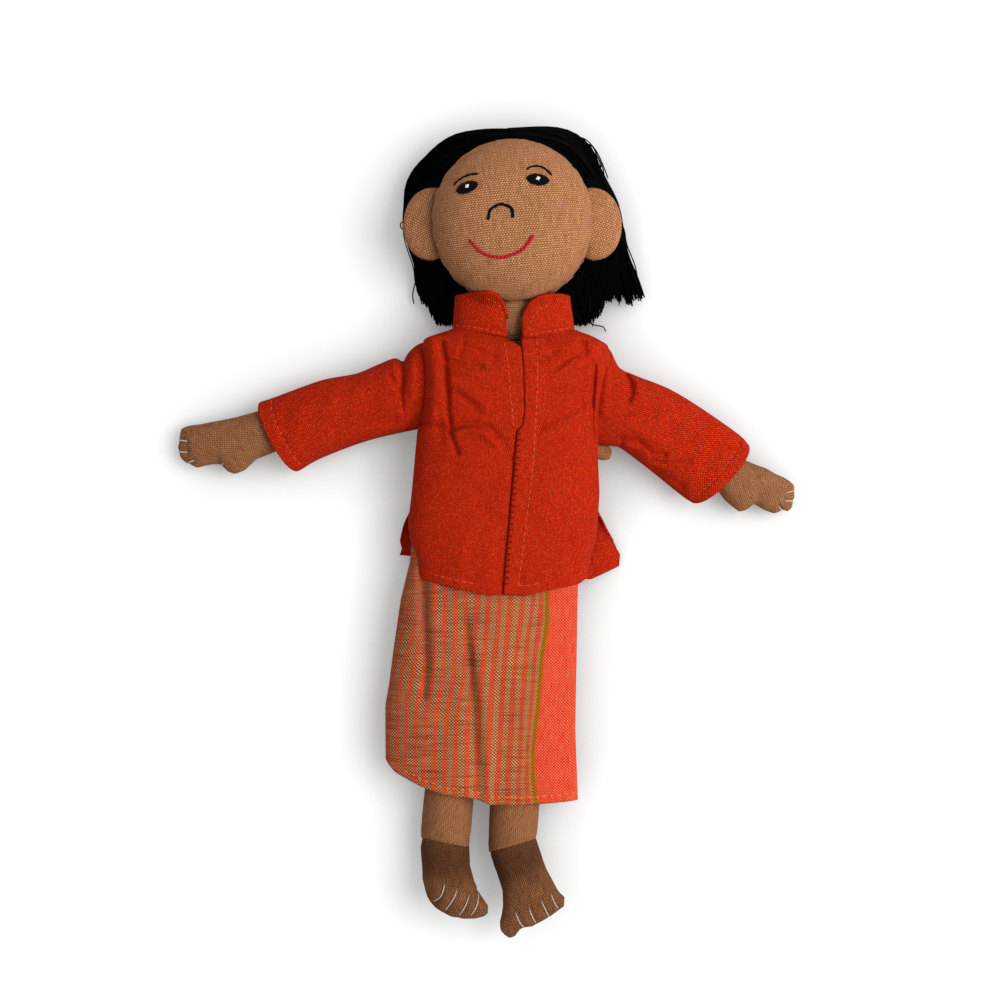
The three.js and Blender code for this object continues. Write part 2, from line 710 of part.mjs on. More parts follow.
// Waistband under the shirt and the skirt that hangs from it
const bandRow = (y) => {
  const half = torsoHalf + gap + bandWall + 0.2;
  return { y, x: midline(y), half, front: skirtFrontTop + 1.5, back: 1 };
};
const bandRows = [bandRow(skirtTop + bandHeight), bandRow(skirtTop + gap)];
add('skirt_waistband', tube(bandRows, garmentSides, bandWall), skirtColour);

const hemDrop = (x) => skirtHem + 0.12 * (x + 2) - (x < -2 ? 0.004 * (x + 2) ** 2 : 0);
const skirtCentre = [[-100, -1.2], [-57, 0], [-20, 3.4], [0, 5.9]];
const skirtSpread = [[-100, skirtHemHalf], [-57, 34], [-20, skirtHalf + 0.8], [0, skirtHalf]];
const skirtRise = [[-100, skirtFrontHem], [-57, 24.6], [-24, 27], [0, skirtFrontTop]];
const skirtUnder = [[-23, -restDepth], [-15.5, 1]];
const creaseX = (y) => -8.5 - 0.05 * (y + 34);
const skirtFold = (point) => {
  if (point.z < legZ) return 0;
  const depth = THREE.MathUtils.smoothstep(-point.y, 20, 60);
  const crease = Math.exp(-(((point.x - creaseX(point.y)) / 3.5) ** 2));
  const sideFold = Math.exp(-(((point.x - sideFoldX) / 3) ** 2));
  return depth * (creaseDepth * crease + sideFoldDepth * sideFold);
};

// The wrap is one sheet: it starts at the free edge, goes round once and ends under its own front
function skirtSheet(steps, rows) {
  const lines = [];
  for (let i = 0; i <= steps; i += 1) {
    const turn = rad(wrapStart) + (2 * Math.PI + rad(wrapOverlap)) * i / steps;
    const tuck = wrapTuck * THREE.MathUtils.smoothstep(turn, rad(290), rad(350));
    const outer = [];
    const inner = [];
    for (let k = 0; k <= rows; k += 1) {
      const share = k / rows;
      const level = skirtTop - share * skirtHem;
      const row = {
        y: level,
        x: between(skirtCentre, level),
        half: between(skirtSpread, level),
        front: between(skirtRise, level),
        back: between(skirtUnder, level),
      };
      for (const [list, inset] of [[outer, tuck], [inner, tuck + skirtWall]]) {
        const point = sectionPoint(row, turn, inset, garmentPower);
        point.z -= skirtFold(point);
        point.y = skirtTop - share * hemDrop(point.x);
        list.push(point);
      }
    }
    lines.push([...outer, ...inner.reverse()]);
  }
  return solid(skinned(lines));
}
add('skirt', onFloor(skirtSheet(36, 7)), skirtColour);

// Legs and feet
const legs = {
  left: {
    hip: v3(hipX + hipSpread, hipY, legZ),
    ankle: v3(ankleLeftX, ankleY - 0.6, legZ),
    toe: v3(...toesLeft),
    big: v3(...bigToeLeft),
  },
  right: {
    hip: v3(hipX - hipSpread, hipY, legZ),
    ankle: v3(ankleRightX, ankleY, legZ),
    toe: v3(...toesRight),
    big: v3(...bigToeRight),
  },
};

// Ends of the toe stitches, from the big toe outward, as seen from above
const toeLines = {
  left: [
    [[11.4, -138.6], [13.6, -144.2]],
    [[15.9, -138], [17.8, -143.8]],
    [[20.1, -136.6], [22, -142]],
    [[23.4, -134.8], [25, -139]],
  ],
  right: [
    [[-4.6, -133], [-6, -138.4]],
    [[-8, -133.4], [-10, -139.2]],
    [[-12, -132.8], [-14.4, -138.4]],
    [[-16, -131.4], [-18.2, -136.2]],
  ],
};

for (const side of ['left', 'right']) {
  const { hip, ankle, toe, big } = legs[side];
  const down = ankle.clone().sub(hip).normalize();
  const top = hip.clone().addScaledVector(down, -legRadius);
  const bottom = ankle.clone().addScaledVector(down, ankleRadius);
  const limb = {
    spine: [top, hip, hip.clone().lerp(ankle, 0.5), ankle, bottom],
    wide: [[0, legRadius], [0.35, thighHalf], [0.65, kneeHalf], [1, ankleRadius]],
    high: [[0, legRadius], [0.35, legRadius], [1, ankleRadius]],
    domes: [legRadius, ankleRadius],
  };
  const hipMouth = rod(hip.clone().addScaledVector(down, -2 * legRadius), hip, sewHole);
  const leg = limbSolid(limb, limbSides, limbSteps);
  const hollowLeg = leg.subtract(limbSolid(limb, limbSides, limbSteps, skinWall));
  add(`leg_${side}_skin`, hollowLeg.subtract(hipMouth), skinColour);
  add(`leg_${side}_stuffing`, limbSolid(limb, limbSides, limbSteps, innerInset), stuffingColour);

  // The foot wraps the ankle's round end and is cut clear of the leg at both limits of its swing
  const heel = v3(ankle.x, ankle.y - heelDrop, heelThick - 3.6);
  const foot = {
    spine: [heel, heel.clone().lerp(toe, 0.5).add(v3(0, -1.6, -1.2)), toe],
    wide: [[0, heelHalf], [0.45, heelHalf + 1.2], [0.8, toeHalf], [1, toeHalf]],
    high: [[0, heelThick], [0.45, heelThick], [1, toeThick]],
    domes: [6.5, 5],
  };
  const bigToeBall = (inset) => {
    const reach = bigToe - inset;
    return ball(big, [reach, reach * 1.15, reach]);
  };
  const legClear = limbSolid(thicker(limb, seatGap), limbSides, limbSteps);
  const swung = [-ankleSwing, 0, ankleSwing].map((turn) => legClear
    .translate([-ankle.x, -ankle.y, -ankle.z]).rotate([turn, 0, 0]).translate([ankle.x, ankle.y, ankle.z]));
  const socketRadius = ankleRadius + seatGap;
  const socket = ball(ankle, [socketRadius, socketRadius, socketRadius], 14);
  const cutAway = swung.reduce((whole, piece) => whole.add(piece), socket);
  const shape = (inset) => limbSolid(foot, limbSides, 7, inset).add(bigToeBall(inset));
  const skin = shape(0).subtract(shape(skinWall)).subtract(cutAway);
  add(`foot_${side}_skin`, onFloor(skin), skinColour);
  add(`foot_${side}_stuffing`, onFloor(shape(innerInset).subtract(cutAway)), stuffingColour);

  // Four stitches draw the toes over the foot's front edge
  const overFoot = lyingOn(shape(0));
  for (const [i, [from, to]] of toeLines[side].entries()) {
    const band = prism(stroke([from, to], stitchWidth), toeStitchLow, far / 2);
    add(`toe_stitch_${side}_${i + 1}`, band.intersect(overFoot), threadColour);
  }
}

export default doll;
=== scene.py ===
import math

import bpy
import numpy as np
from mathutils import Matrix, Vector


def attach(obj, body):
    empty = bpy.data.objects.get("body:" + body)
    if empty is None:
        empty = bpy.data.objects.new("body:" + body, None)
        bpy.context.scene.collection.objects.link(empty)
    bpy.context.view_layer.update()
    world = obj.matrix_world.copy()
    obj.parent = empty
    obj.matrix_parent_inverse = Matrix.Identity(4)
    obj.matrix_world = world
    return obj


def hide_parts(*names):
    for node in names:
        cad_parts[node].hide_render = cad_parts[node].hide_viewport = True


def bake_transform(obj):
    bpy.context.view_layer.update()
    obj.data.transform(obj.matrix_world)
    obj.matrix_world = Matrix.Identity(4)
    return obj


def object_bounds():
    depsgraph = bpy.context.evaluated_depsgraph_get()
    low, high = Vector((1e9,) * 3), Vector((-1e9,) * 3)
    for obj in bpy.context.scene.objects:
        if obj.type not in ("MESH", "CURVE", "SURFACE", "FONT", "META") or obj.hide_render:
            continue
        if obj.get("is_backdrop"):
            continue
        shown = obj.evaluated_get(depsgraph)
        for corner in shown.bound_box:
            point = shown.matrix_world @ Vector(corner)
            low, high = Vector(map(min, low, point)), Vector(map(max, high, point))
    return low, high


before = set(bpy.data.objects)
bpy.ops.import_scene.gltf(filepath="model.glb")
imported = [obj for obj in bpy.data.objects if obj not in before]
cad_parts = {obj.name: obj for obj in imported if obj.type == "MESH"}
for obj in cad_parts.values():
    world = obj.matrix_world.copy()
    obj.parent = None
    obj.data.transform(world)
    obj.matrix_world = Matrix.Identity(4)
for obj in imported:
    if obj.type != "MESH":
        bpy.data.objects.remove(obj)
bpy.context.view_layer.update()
scene = bpy.context.scene

# The view: the doll lies on its back on a pale table and is looked at from straight above, its
# head at the top of the picture. The picture is 385 mm wide at the table.
eye_height = 0.65
view_width = 0.385
eye_place = (0.0052, 0.0112)

lens = bpy.data.cameras.new("view_from_above")
lens.sensor_width = 36
lens.lens = lens.sensor_width * eye_height / view_width
eye = bpy.data.objects.new("view_from_above", lens)
eye.location = (*eye_place, eye_height)
scene.collection.objects.link(eye)
scene.camera = eye


class Wire:
    """An output socket of a material's node; the operators add Math nodes to its material."""

    def __init__(self, finish, socket):
        self.finish, self.socket = finish, socket

    def sum(self, operation, *others):
        return self.finish.node("ShaderNodeMath", {"operation": operation}, dict(enumerate([self, *others])))

    def swapped(self, operation, other):
        return self.finish.node("ShaderNodeMath", {"operation": operation}, {0: other, 1: self})

    def __add__(self, other):
        return self.sum("ADD", other)

    def __sub__(self, other):
        return self.sum("SUBTRACT", other)

    def __mul__(self, other):
        return self.sum("MULTIPLY", other)

    def __truediv__(self, other):
        return self.sum("DIVIDE", other)

    def __pow__(self, other):
        return self.sum("POWER", other)

    def __rsub__(self, other):
        return self.swapped("SUBTRACT", other)

    def __rtruediv__(self, other):
        return self.swapped("DIVIDE", other)

    def __gt__(self, other):
        return self.sum("GREATER_THAN", other)

    def __lt__(self, other):
        return self.sum("LESS_THAN", other)

    __radd__ = __add__
    __rmul__ = __mul__


class Finish:
    """One material: a principled shader, whose fixed values are given here, and the nodes that feed it."""

    def __init__(self, name, **fixed):
        self.material = bpy.data.materials.new(name)
        self.material.use_nodes = True
        self.nodes = self.material.node_tree.nodes
        self.links = self.material.node_tree.links
        self.shader = self.nodes["Principled BSDF"]
        for socket, value in fixed.items():
            self.shader.inputs[socket.replace("_", " ")].default_value = value

    def put(self, socket, value):
        """Feeds the socket with a wire, a plain value or a colour of six hexadecimal digits."""
        if isinstance(value, Wire):
            self.links.new(value.socket, socket)
        elif value is not None:
            socket.default_value = paint(value) if isinstance(value, str) else value

    def node(self, kind, settings=None, inputs=None, output=0):
        made = self.nodes.new(kind)
        for name, value in (settings or {}).items():
            setattr(made, name, value)
        for socket, value in (inputs or {}).items():
            self.put(made.inputs[socket], value)
        return Wire(self, made.outputs[output])

    def noise(self, place, scale, detail, rough=0.5):
        return self.node("ShaderNodeTexNoise", {"noise_dimensions": "3D"},
                         {"Vector": place, "Scale": scale, "Detail": detail, "Roughness": rough})

    def mix(self, share, one, two, mode="MIX"):
        settings = {"data_type": "RGBA", "blend_type": mode}
        return self.node("ShaderNodeMix", settings, {0: share, 6: one, 7: two}, 2)

    def vector(self, x, y, z=0.0):
        return self.node("ShaderNodeCombineXYZ", None, {0: x, 1: y, 2: z})

    def flat_cloth(self):
        """Where a point was on the flat cloth: across and along, in millimetres."""
        place = self.node("ShaderNodeUVMap", {"uv_map": "cloth"})
        parts = self.node("ShaderNodeSeparateXYZ", None, {0: place})
        return parts, Wire(self, parts.socket.node.outputs[1]), place

    def show(self, colour, roughness, height, depth):
        """Colour, roughness and a bump from a height of 0 to 1 that stands depth millimetres high."""
        self.put(self.shader.inputs["Base Color"], colour)
        self.put(self.shader.inputs["Roughness"], roughness)
        bump = self.node("ShaderNodeBump", None,
                         {"Strength": 1.0, "Distance": depth / 1000, "Height": height})
        self.put(self.shader.inputs["Normal"], bump)


def paint(code):
    """A colour written as six hexadecimal digits, as linear light."""
    parts = np.array([int(code[i:i + 2], 16) for i in (0, 2, 4)]) / 255
    linear = np.where(parts <= 0.04045, parts / 12.92, ((parts + 0.055) / 1.055) ** 2.4)
    return (*linear.tolist(), 1.0)


def plain_weave(finish, warp_pitch, weft_pitch, wobble=0.25):
    """Over-and-under cells, one pitch of each thread wide and high: the height is the root of the
    product of the two threads' half waves, and the product's sign says which thread lies on top.
    Each thread has its own tone, a noise stretched along it."""
    across, along, place = finish.flat_cloth()
    stray = finish.noise(place, 0.12 / weft_pitch, 1.0) - 0.5
    a = (across + stray * (wobble * warp_pitch * 4)) * (math.pi / warp_pitch)
    b = (along + stray * (wobble * weft_pitch * 4)) * (math.pi / weft_pitch)
    cell = a.sum("SINE") * b.sum("SINE")
    height = cell.sum("ABSOLUTE") ** 0.5
    warp_run = finish.vector(across * (1.1 / warp_pitch), along * (0.12 / weft_pitch))
    warp = finish.noise(warp_run, 1.0, 1.0)
    weft_run = finish.vector(across * (0.12 / warp_pitch), along * (1.1 / weft_pitch), 7.0)
    weft = finish.noise(weft_run, 1.0, 1.0)
    on_top = cell > 0
    thread = (warp * on_top + weft * (1 - on_top) - 0.5) * 1.8 + 0.5
    rows = b.sum("SINE").sum("ABSOLUTE")
    return height, thread, on_top, rows, place


# The torso: a closed bag of skin-coloured plain-weave cotton, stuffed with fibre and sewn shut at
# the crotch. Shirt and skirt cover it but for the neck opening and a tab of it at the left armpit.
def skin_cotton(name, dark, light, gap, pitch, contrast, instep=None):
    """Coarse cotton: uneven threads and slow patches of tone, lighter on the thread crowns and darker on
    the ground between them as a painted highlight and painted shade, and darker still about the middle
    of the instep as painted shade, where that is given in millimetres from the root."""
    finish = Finish(name, Roughness=0.95, Specular_IOR_Level=0.1)
    height, thread, on_top, rows, place = plain_weave(finish, *pitch, wobble=0.14)
    crown = finish.mix(thread, dark, light)
    # Painted highlight on the thread crowns and painted shade in the gaps between them.
    shade = rows * (0.56 - contrast) + height * 0.3 + on_top * (0.3 + contrast) - 0.12
    tone = finish.mix(shade, gap, crown)
    cloudy = finish.noise(place, 0.05, 3.0, 0.6)
    patches_and_painted_shade = finish.mix(cloudy * 0.35, tone, finish.mix(0.4, tone, dark))
    # Painted shade about the middle of the instep, the hollow between leg and toes.
    if instep is not None:
        _, along, _ = finish.flat_cloth()
        near = (1 - ((along - instep) / 11) ** 2).sum("MAXIMUM", 0.0)
        patches_and_painted_shade = finish.mix(near * 0.78, patches_and_painted_shade, finish.mix(0.75, patches_and_painted_shade, gap))
    finish.show(patches_and_painted_shade, None, height + thread * 0.35, 0.16)
    return finish


skin = skin_cotton("skin_cotton", "aa683a", "fab886", "401c0a", (0.5, 0.8), 0.13)
limb_skin = skin_cotton("limb_cotton", "945834", "e0a06e", "3a1808", (0.44, 0.56), 0.3)
# The feet's cotton, with painted shade about the middle of the instep.
foot_skin = skin_cotton("foot_cotton", "6c3c20", "c8885a", "200c04", (0.46, 0.62), 0.28, instep=9)


def rounded(stations, spots, blur):
    """Straight lines between the stations, their corners rounded over a length of blur."""
    xs, ys = np.array(stations, float).T
    fine = np.linspace(xs[0] - blur, xs[-1] + blur, 1201)
    window = np.hanning(max(5, 2 * int(blur / (fine[1] - fine[0]) / 2) + 1))
    half = len(window) // 2
    flat = np.pad(np.interp(fine, xs, ys), half, mode="edge")
    return np.interp(spots, fine, np.convolve(flat, window / window.sum(), "valid"))


def signed_power(value, power):
    """The value's size raised to the power, its sign kept."""
    return np.sign(value) * np.abs(value) ** power


def power_wave(angles, power):
    """Cosine and sine of the angles, each with its size raised to 2 / power: a boxier circle."""
    return signed_power(np.cos(angles), 2 / power), signed_power(np.sin(angles), 2 / power)


def middle_half(low, high):
    """The middle between two edges, and half the distance between them."""
    return (low + high) / 2, (high - low) / 2


def bell(distance, width):
    """A bell curve, 1 where the distance is 0 and 1 / e where it is the width."""
    return np.exp(-(distance / width) ** 2)


def turns(columns):
    """Angles once round, one for each column."""
    return np.arange(columns) * 2 * math.pi / columns


def steps(points, axis=0):
    """The distances between neighbouring points along an axis."""
    return np.linalg.norm(np.diff(points, axis=axis), axis=-1)


def summed(lengths):
    """The running total of the lengths along their last axis, from 0 on."""
    return np.concatenate([np.zeros((*lengths.shape[:-1], 1)), np.cumsum(lengths, -1)], -1)


def ridges(x, y, lines):
    """Depth of folds pressed into a surface: each is a line of points, a depth and a half width,
    and falls off as a bell curve with the distance from the line; it fades at the line's ends."""
    total = np.zeros(np.broadcast(x, y).shape)
    for points, depth, width in lines:
        line = np.asarray(points, float)
        nearest = np.full(total.shape, 1e9)
        for (ax, ay), (bx, by) in zip(line[:-1], line[1:]):
            run = np.hypot(bx - ax, by - ay)
            t = np.clip(((x - ax) * (bx - ax) + (y - ay) * (by - ay)) / run ** 2, 0, 1)
            nearest = np.minimum(nearest, np.hypot(x - ax - t * (bx - ax), y - ay - t * (by - ay)))
        total += depth * bell(nearest, width)
    return total


def ripple(x, y, size, seed):
    """Slow unevenness between about -1 and 1: a sum of waves in seeded directions."""
    picked = np.random.default_rng(seed)
    total = np.zeros(np.broadcast(x, y).shape)
    for share in (1.0, 0.6, 0.45, 0.3):
        way, start = picked.uniform(0, 2 * math.pi, 2)
        length = size * picked.uniform(0.5, 1.4)
        total += share * np.sin(2 * math.pi * (x * math.cos(way) + y * math.sin(way)) / length + start)
    return total / 1.6


def sew(name, grid, finish, cloth, loop=True, shut=False, keep=None, middle=None):
    """A mesh over grid[copy, row, column] in millimetres: neighbours are joined by four-sided faces,
    the columns close round where loop says so, and shut closes the first and last row of each copy.
    cloth gives each point's place on the flat cloth, with one more column where the grid loops."""
    grid = np.asarray(grid, float)
    grid = grid[None] if grid.ndim == 3 else grid
    copies, rows, columns = grid.shape[:3]
    index = np.arange(copies * rows * columns).reshape(copies, rows, columns)
    wide = np.concatenate([index, index[:, :, :1]], 2) if loop else index

    def corners(net):
        return np.stack([net[:, :-1, :-1], net[:, :-1, 1:], net[:, 1:, 1:], net[:, 1:, :-1]], 3)

    quads = corners(wide)
    kept = np.ones(quads.shape[:3], bool) if keep is None else keep[None]
    faces = quads[kept].tolist()
    if shut:
        faces += index[:, 0, ::-1].tolist() + index[:, -1, :].tolist()
    mesh = bpy.data.meshes.new(name)
    mesh.from_pydata((grid.reshape(-1, 3) / 1000).tolist(), [], faces)
    cloth = np.broadcast_to(cloth, (copies, *cloth.shape[-3:]))
    laid = [corners(cloth)[kept].reshape(-1, 2)]
    if shut:
        laid += [cloth[:, 0, :columns][:, ::-1].reshape(-1, 2), cloth[:, -1, :columns].reshape(-1, 2)]
    layer = mesh.uv_layers.new(name="cloth")
    layer.uv.foreach_set("vector", np.concatenate(laid).astype(np.float32).ravel())
    mesh.validate()
    face_out(mesh, middle)
    mesh.polygons.foreach_set("use_smooth", np.ones(len(mesh.polygons), bool))
    piece = bpy.data.objects.new(name, mesh)
    scene.collection.objects.link(piece)
    mesh.materials.append(finish.material)
    return piece


def face_out(mesh, middle):
    """Turns the mesh inside out where its faces look at its middle, or at the point given instead,
    more than away from it."""
    count = len(mesh.polygons)
    normals, centres, areas = np.zeros(3 * count), np.zeros(3 * count), np.zeros(count)
    mesh.polygons.foreach_get("normal", normals)
    mesh.polygons.foreach_get("center", centres)
    mesh.polygons.foreach_get("area", areas)
    normals, centres = normals.reshape(-1, 3), centres.reshape(-1, 3)
    start = centres.mean(0) if middle is None else np.array(middle) / 1000
    if (areas * ((centres - start) * normals).sum(1)).sum() < 0:
        mesh.flip_normals()


def places(piece):
    """The piece's points, in millimetres."""
    found = np.zeros(3 * len(piece.data.vertices), np.float32)
    piece.data.vertices.foreach_get("co", found)
    return found.reshape(-1, 3).astype(float) * 1000


swell_scale, swell_frames, swell_pressure = 8, 20, 4.0


def stuff(piece, held, cap, slack=0.02):
    """Fills a closed bag: a copy several times its size is blown up as cloth for some frames, held
    where held is true, and the bag takes the moved points, none further than cap millimetres."""
    rest = places(piece)
    mesh = piece.data.copy()
    mesh.vertices.foreach_set("co", (rest * swell_scale / 1000).astype(np.float32).ravel())
    copy = bpy.data.objects.new(piece.name + "_swelling", mesh)
    scene.collection.objects.link(copy)
    group = copy.vertex_groups.new(name="held")
    group.add(np.nonzero(held)[0].tolist(), 1.0, "REPLACE")
    cloth = copy.modifiers.new("cloth", "CLOTH")
    how = cloth.settings
    how.quality, how.mass = 5, 0.3
    how.tension_stiffness = how.compression_stiffness = 15
    how.bending_stiffness = 0.3
    how.use_pressure, how.uniform_pressure_force = True, swell_pressure
    how.vertex_group_mass = "held"
    how.shrink_min = -slack
    how.effector_weights.gravity = 0
    cloth.collision_settings.use_collision = False
    cloth.point_cache.frame_start, cloth.point_cache.frame_end = 1, swell_frames
    for moment in range(1, swell_frames + 1):
        scene.frame_set(moment)
    ready = copy.evaluated_get(bpy.context.evaluated_depsgraph_get()).to_mesh()
    moved = np.zeros(3 * len(ready.vertices), np.float32)
    ready.vertices.foreach_get("co", moved)
    shift = moved.reshape(-1, 3) * 1000 / swell_scale - rest
    reach = np.linalg.norm(shift, axis=1, keepdims=True)
    settled = rest + shift * np.minimum(1, cap / np.maximum(reach, 1e-6))
    piece.data.vertices.foreach_set("co", (settled / 1000).astype(np.float32).ravel())
    piece.data.update()
    bpy.data.objects.remove(copy)
    scene.frame_set(1)


def midline(y):
    """The doll's own centre line, which leans a little from the hips to the neck."""
    return 4 + 6.8 * (np.asarray(y, float) + 36.3) / 113.9


torso_half = [[-27, 22.9], [-25.5, 24.7], [-21, 25.7], [-2, 26], [14, 27], [29, 27.8], [54, 27.5], [61.3, 27],
              [66.8, 23], [70.3, 13.8]]
torso_front = [[-27, 18.3], [-25.5, 20.8], [-21, 22.8], [-2, 25.2], [14, 28.4], [29, 30.7], [54, 31],
               [61.3, 30.4], [66.8, 28.5], [70.3, 24]]
torso_back = [[-27, 7.5], [-25.5, 5], [-21, 3.3], [-2, 3], [54, 3], [61.3, 3.3], [66.8, 5], [70.3, 9]]


def section_rows(y, half, front, back, angles, power):
    """Rounded sections across rows of y: a boxy circle of that half width between back and front."""
    c, s = power_wave(angles, power)
    x = midline(y)[:, None] + half[:, None] * c
    middle, high = middle_half(back, front)
    z = middle[:, None] + high[:, None] * s
    return np.stack([x, np.broadcast_to(y[:, None], x.shape), z], -1)


def closed(grid):
    """The grid with its first column once more at the end."""
    return np.concatenate([grid, grid[:, :1]], 1)


def round_and_along(grid):
    """Flat cloth of a tube: across is the length round each row, along the length down the columns."""
    across = summed(steps(closed(grid), 1))
    across = across - across[:, -1:] / 2
    along = summed(steps(grid.mean(1)))
    return np.stack([across, np.broadcast_to(along[:, None], across.shape)], -1)


torso_middle, torso_reach, torso_sewn = 21.65, 48.65, 47
torso_y = torso_middle + torso_reach * np.sin(np.linspace(-math.pi / 2, math.pi / 2, 64))
torso_grid = section_rows(torso_y, rounded(torso_half, torso_y, 2), rounded(torso_front, torso_y, 2),
                          rounded(torso_back, torso_y, 2), turns(80), 2.4)
torso = sew("torso_cloth", torso_grid, skin, shut=True, cloth=round_and_along(torso_grid))
stuff(torso, np.abs(places(torso)[:, 1] - torso_middle) > torso_sewn, cap=0.6)
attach(torso, "torso")
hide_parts("torso_skin", "torso_stuffing")

tab_x, tab_y, tab_z = 42.4, 29.8, 11
tab_reach, tab_lift = power_wave(np.radians(np.linspace(-84, 84, 21))[:, None], 2.6)
tab_c, tab_s = power_wave(turns(40), 2.8)
tab_grid = np.stack([tab_x + 5 * tab_reach * tab_c + 0.5 * tab_reach * tab_s,
                     tab_y + tab_reach * (3.1 * tab_s - 1.2 * tab_c),
                     tab_z + 2.4 * tab_lift + 0 * tab_c], -1)
tab = sew("torso_tab_cloth", tab_grid, limb_skin, shut=True, cloth=closed(tab_grid)[..., :2])
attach(tab, "torso")

# The neck: a short tube of the same cotton, stuffed with fibre and sewn to the torso's top and into
# the head. It shows only in the collar's opening.
neck_x, neck_y, neck_z, neck_length, neck_radius = 10.8, 70.6, 19.6, 19, 8.4
neck_s = np.linspace(0, 1, 24)
neck_line = np.stack([neck_x + 0 * neck_s, neck_y + neck_length * neck_s, neck_z + 2 * neck_s ** 2], 1)


def dome(share, least=0.02):
    """The height of a quarter circle over the share of the way in, from 0 at its foot to 1."""
    return np.sqrt(1 - (1 - np.clip(share, least, 1)) ** 2)


def unit(vectors):
    """The vectors, made one long."""
    return vectors / np.maximum(np.linalg.norm(vectors, axis=-1, keepdims=True), 1e-9)


def carried(line, wide, high, angles, up=(0.0, 0.0, 1.0)):
    """Oval sections of half sizes wide and high, carried square to a line of points."""
    along = unit(np.gradient(line, axis=-2))
    side = unit(np.cross(np.broadcast_to(up, along.shape), along))
    over = np.cross(along, side)
    c, s = np.cos(angles), np.sin(angles)
    wide, high = np.broadcast_to(wide, line.shape[:-1]), np.broadcast_to(high, line.shape[:-1])
    return (line[..., None, :] + (wide[..., None] * c)[..., None] * side[..., None, :]
            + (high[..., None] * s)[..., None] * over[..., None, :])


neck_size = neck_radius * dome(neck_s * neck_length / 6, 0.15) + 0.25 * np.sin(neck_s * 21)
neck_grid = carried(neck_line, neck_size, neck_size * 0.98, turns(40))
neck = sew("neck_cloth", neck_grid, skin, shut=True, cloth=round_and_along(neck_grid))
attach(neck, "neck")
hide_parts("neck_skin", "neck_stuffing")

# The head: a face panel and a back panel of the skin cotton, sewn together round the edge and
# stuffed tight into a thick round pad. The seam draws in, and the cloth puckers beside it.
head_at = np.array([9.8, 113.8, 25.5])
head_radius, head_half, head_power = 29.6, 22.5, 2.5
head_rows, head_columns = 73, 132
head_rise = np.radians(np.linspace(88.5, -88.5, head_rows))[:, None]
head_turn = turns(head_columns)[None]


def head_surface(rise, turn):
    """A boxy circle spun round the head's axis, drawn in at the seam and puckered on both sides of it."""
    reach, lift = power_wave(rise, head_power)
    near, beside = bell(rise, 0.09), bell(np.abs(rise) - 0.2, 0.16)
    pucker = np.sin(61 * turn + 2 * np.sin(5 * turn)) * 0.10 + np.sin(23 * turn) * 0.12
    size = head_radius * reach - 0.55 * near + beside * (0.25 + pucker)
    return np.stack([size * np.cos(turn), size * np.sin(turn), head_half * lift + 0 * turn], -1) + head_at


head_grid = head_surface(head_rise, head_turn)
head_pole = np.linalg.norm(head_grid[0, 0, :2] - head_at[:2])
head_reach = head_pole + summed(steps(head_grid).mean(1))
head_reach = np.minimum(head_reach, head_reach[-1] - head_reach)
head_lean = math.radians(5)
spoke = np.concatenate([head_turn[0], [2 * math.pi]]) - head_lean
head_flat = head_reach[:, None, None] * np.stack([np.cos(spoke), np.sin(spoke)], -1)[None]
head = sew("head_cloth", head_grid, skin, shut=True, cloth=head_flat)
stuff(head, np.repeat(np.abs(head_rise[:, 0]) < 0.06, head_columns), slack=0.015, cap=0.9)
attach(head, "head")
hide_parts("head_face", "head_back", "head_stuffing")

# The ears: two flat ovals of the same cotton with a little stuffing, caught in the head's seam and
# nipped in where they join it.
ear_half_x, ear_half_y, ear_mean, ear_columns, ear_out = 10.5, 13.3, 12, 64, 29.7
ear_rise = np.radians(np.linspace(86, -86, 33))[:, None]
ear_turn = turns(ear_columns)[None]
ear_c, ear_s = power_wave(ear_turn, 2.15)
for side, name in ((1, "left"), (-1, "right")):
    reach, lift = power_wave(ear_rise, 2.3)
    x, y = ear_half_x * reach * ear_c, ear_half_y * reach * ear_s
    inward = np.clip((-x * side - 1.5) / 7, 0, 1)
    swell = 1 - 0.55 * inward
    seam = 0.35 * bell(ear_rise, 0.12)
    outline = 1 - seam / 11
    lean = 0.09 * side
    along_x = x * math.cos(lean) - y * math.sin(lean)
    along_y = x * math.sin(lean) + y * math.cos(lean)
    ear_grid = np.stack([head_at[0] + side * ear_out + along_x * outline,
                         head_at[1] - 0.6 + along_y * outline * (1 - 0.1 * inward),
                         head_at[2] + 5.2 * lift * swell], -1)
    ear_pole = ear_mean * reach[0, 0]
    ear_reach = ear_pole + summed(steps(ear_grid).mean(1))
    ear_reach = np.minimum(ear_reach, ear_reach[-1] + ear_pole - ear_reach)[:, None, None] / ear_mean
    spoke = np.concatenate([ear_turn[0], [2 * math.pi]]) + 0.3
    ear_flat = ear_reach * np.stack([ear_half_x * np.cos(spoke), ear_half_y * np.sin(spoke)], -1)[None]
    ear = sew("ear_cloth_" + name, ear_grid, skin, shut=True, cloth=ear_flat)
    stuff(ear, np.repeat(np.abs(ear_rise[:, 0]) < 0.1, ear_columns), cap=0.5)
    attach(ear, "head")
    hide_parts("ear_" + name)

# The face: drawn with a needle. Black satin stitch fills the eyes, with a white knot for the light
# in each; brows and nose are black backstitch, and the smile is a corded red backstitch.
head_points = places(head)


def resting(points, cloud, lift=0.0):
    """The points put on the cloud of surface points: the height is the mean of the eight nearest,
    weighed by one over the squared distance in plan, plus the lift."""
    flat = np.asarray(points, float)[..., :2].reshape(-1, 2)
    gaps = ((flat[:, None] - cloud[None, :, :2]) ** 2).sum(2)
    near = np.argpartition(gaps, 8, axis=1)[:, :8]
    weight = 1 / (np.take_along_axis(gaps, near, 1) + 0.02)
    height = (cloud[near, 2] * weight).sum(1) / weight.sum(1)
    return np.concatenate([flat, height[:, None] + lift], 1).reshape(*np.shape(points)[:-1], 3)


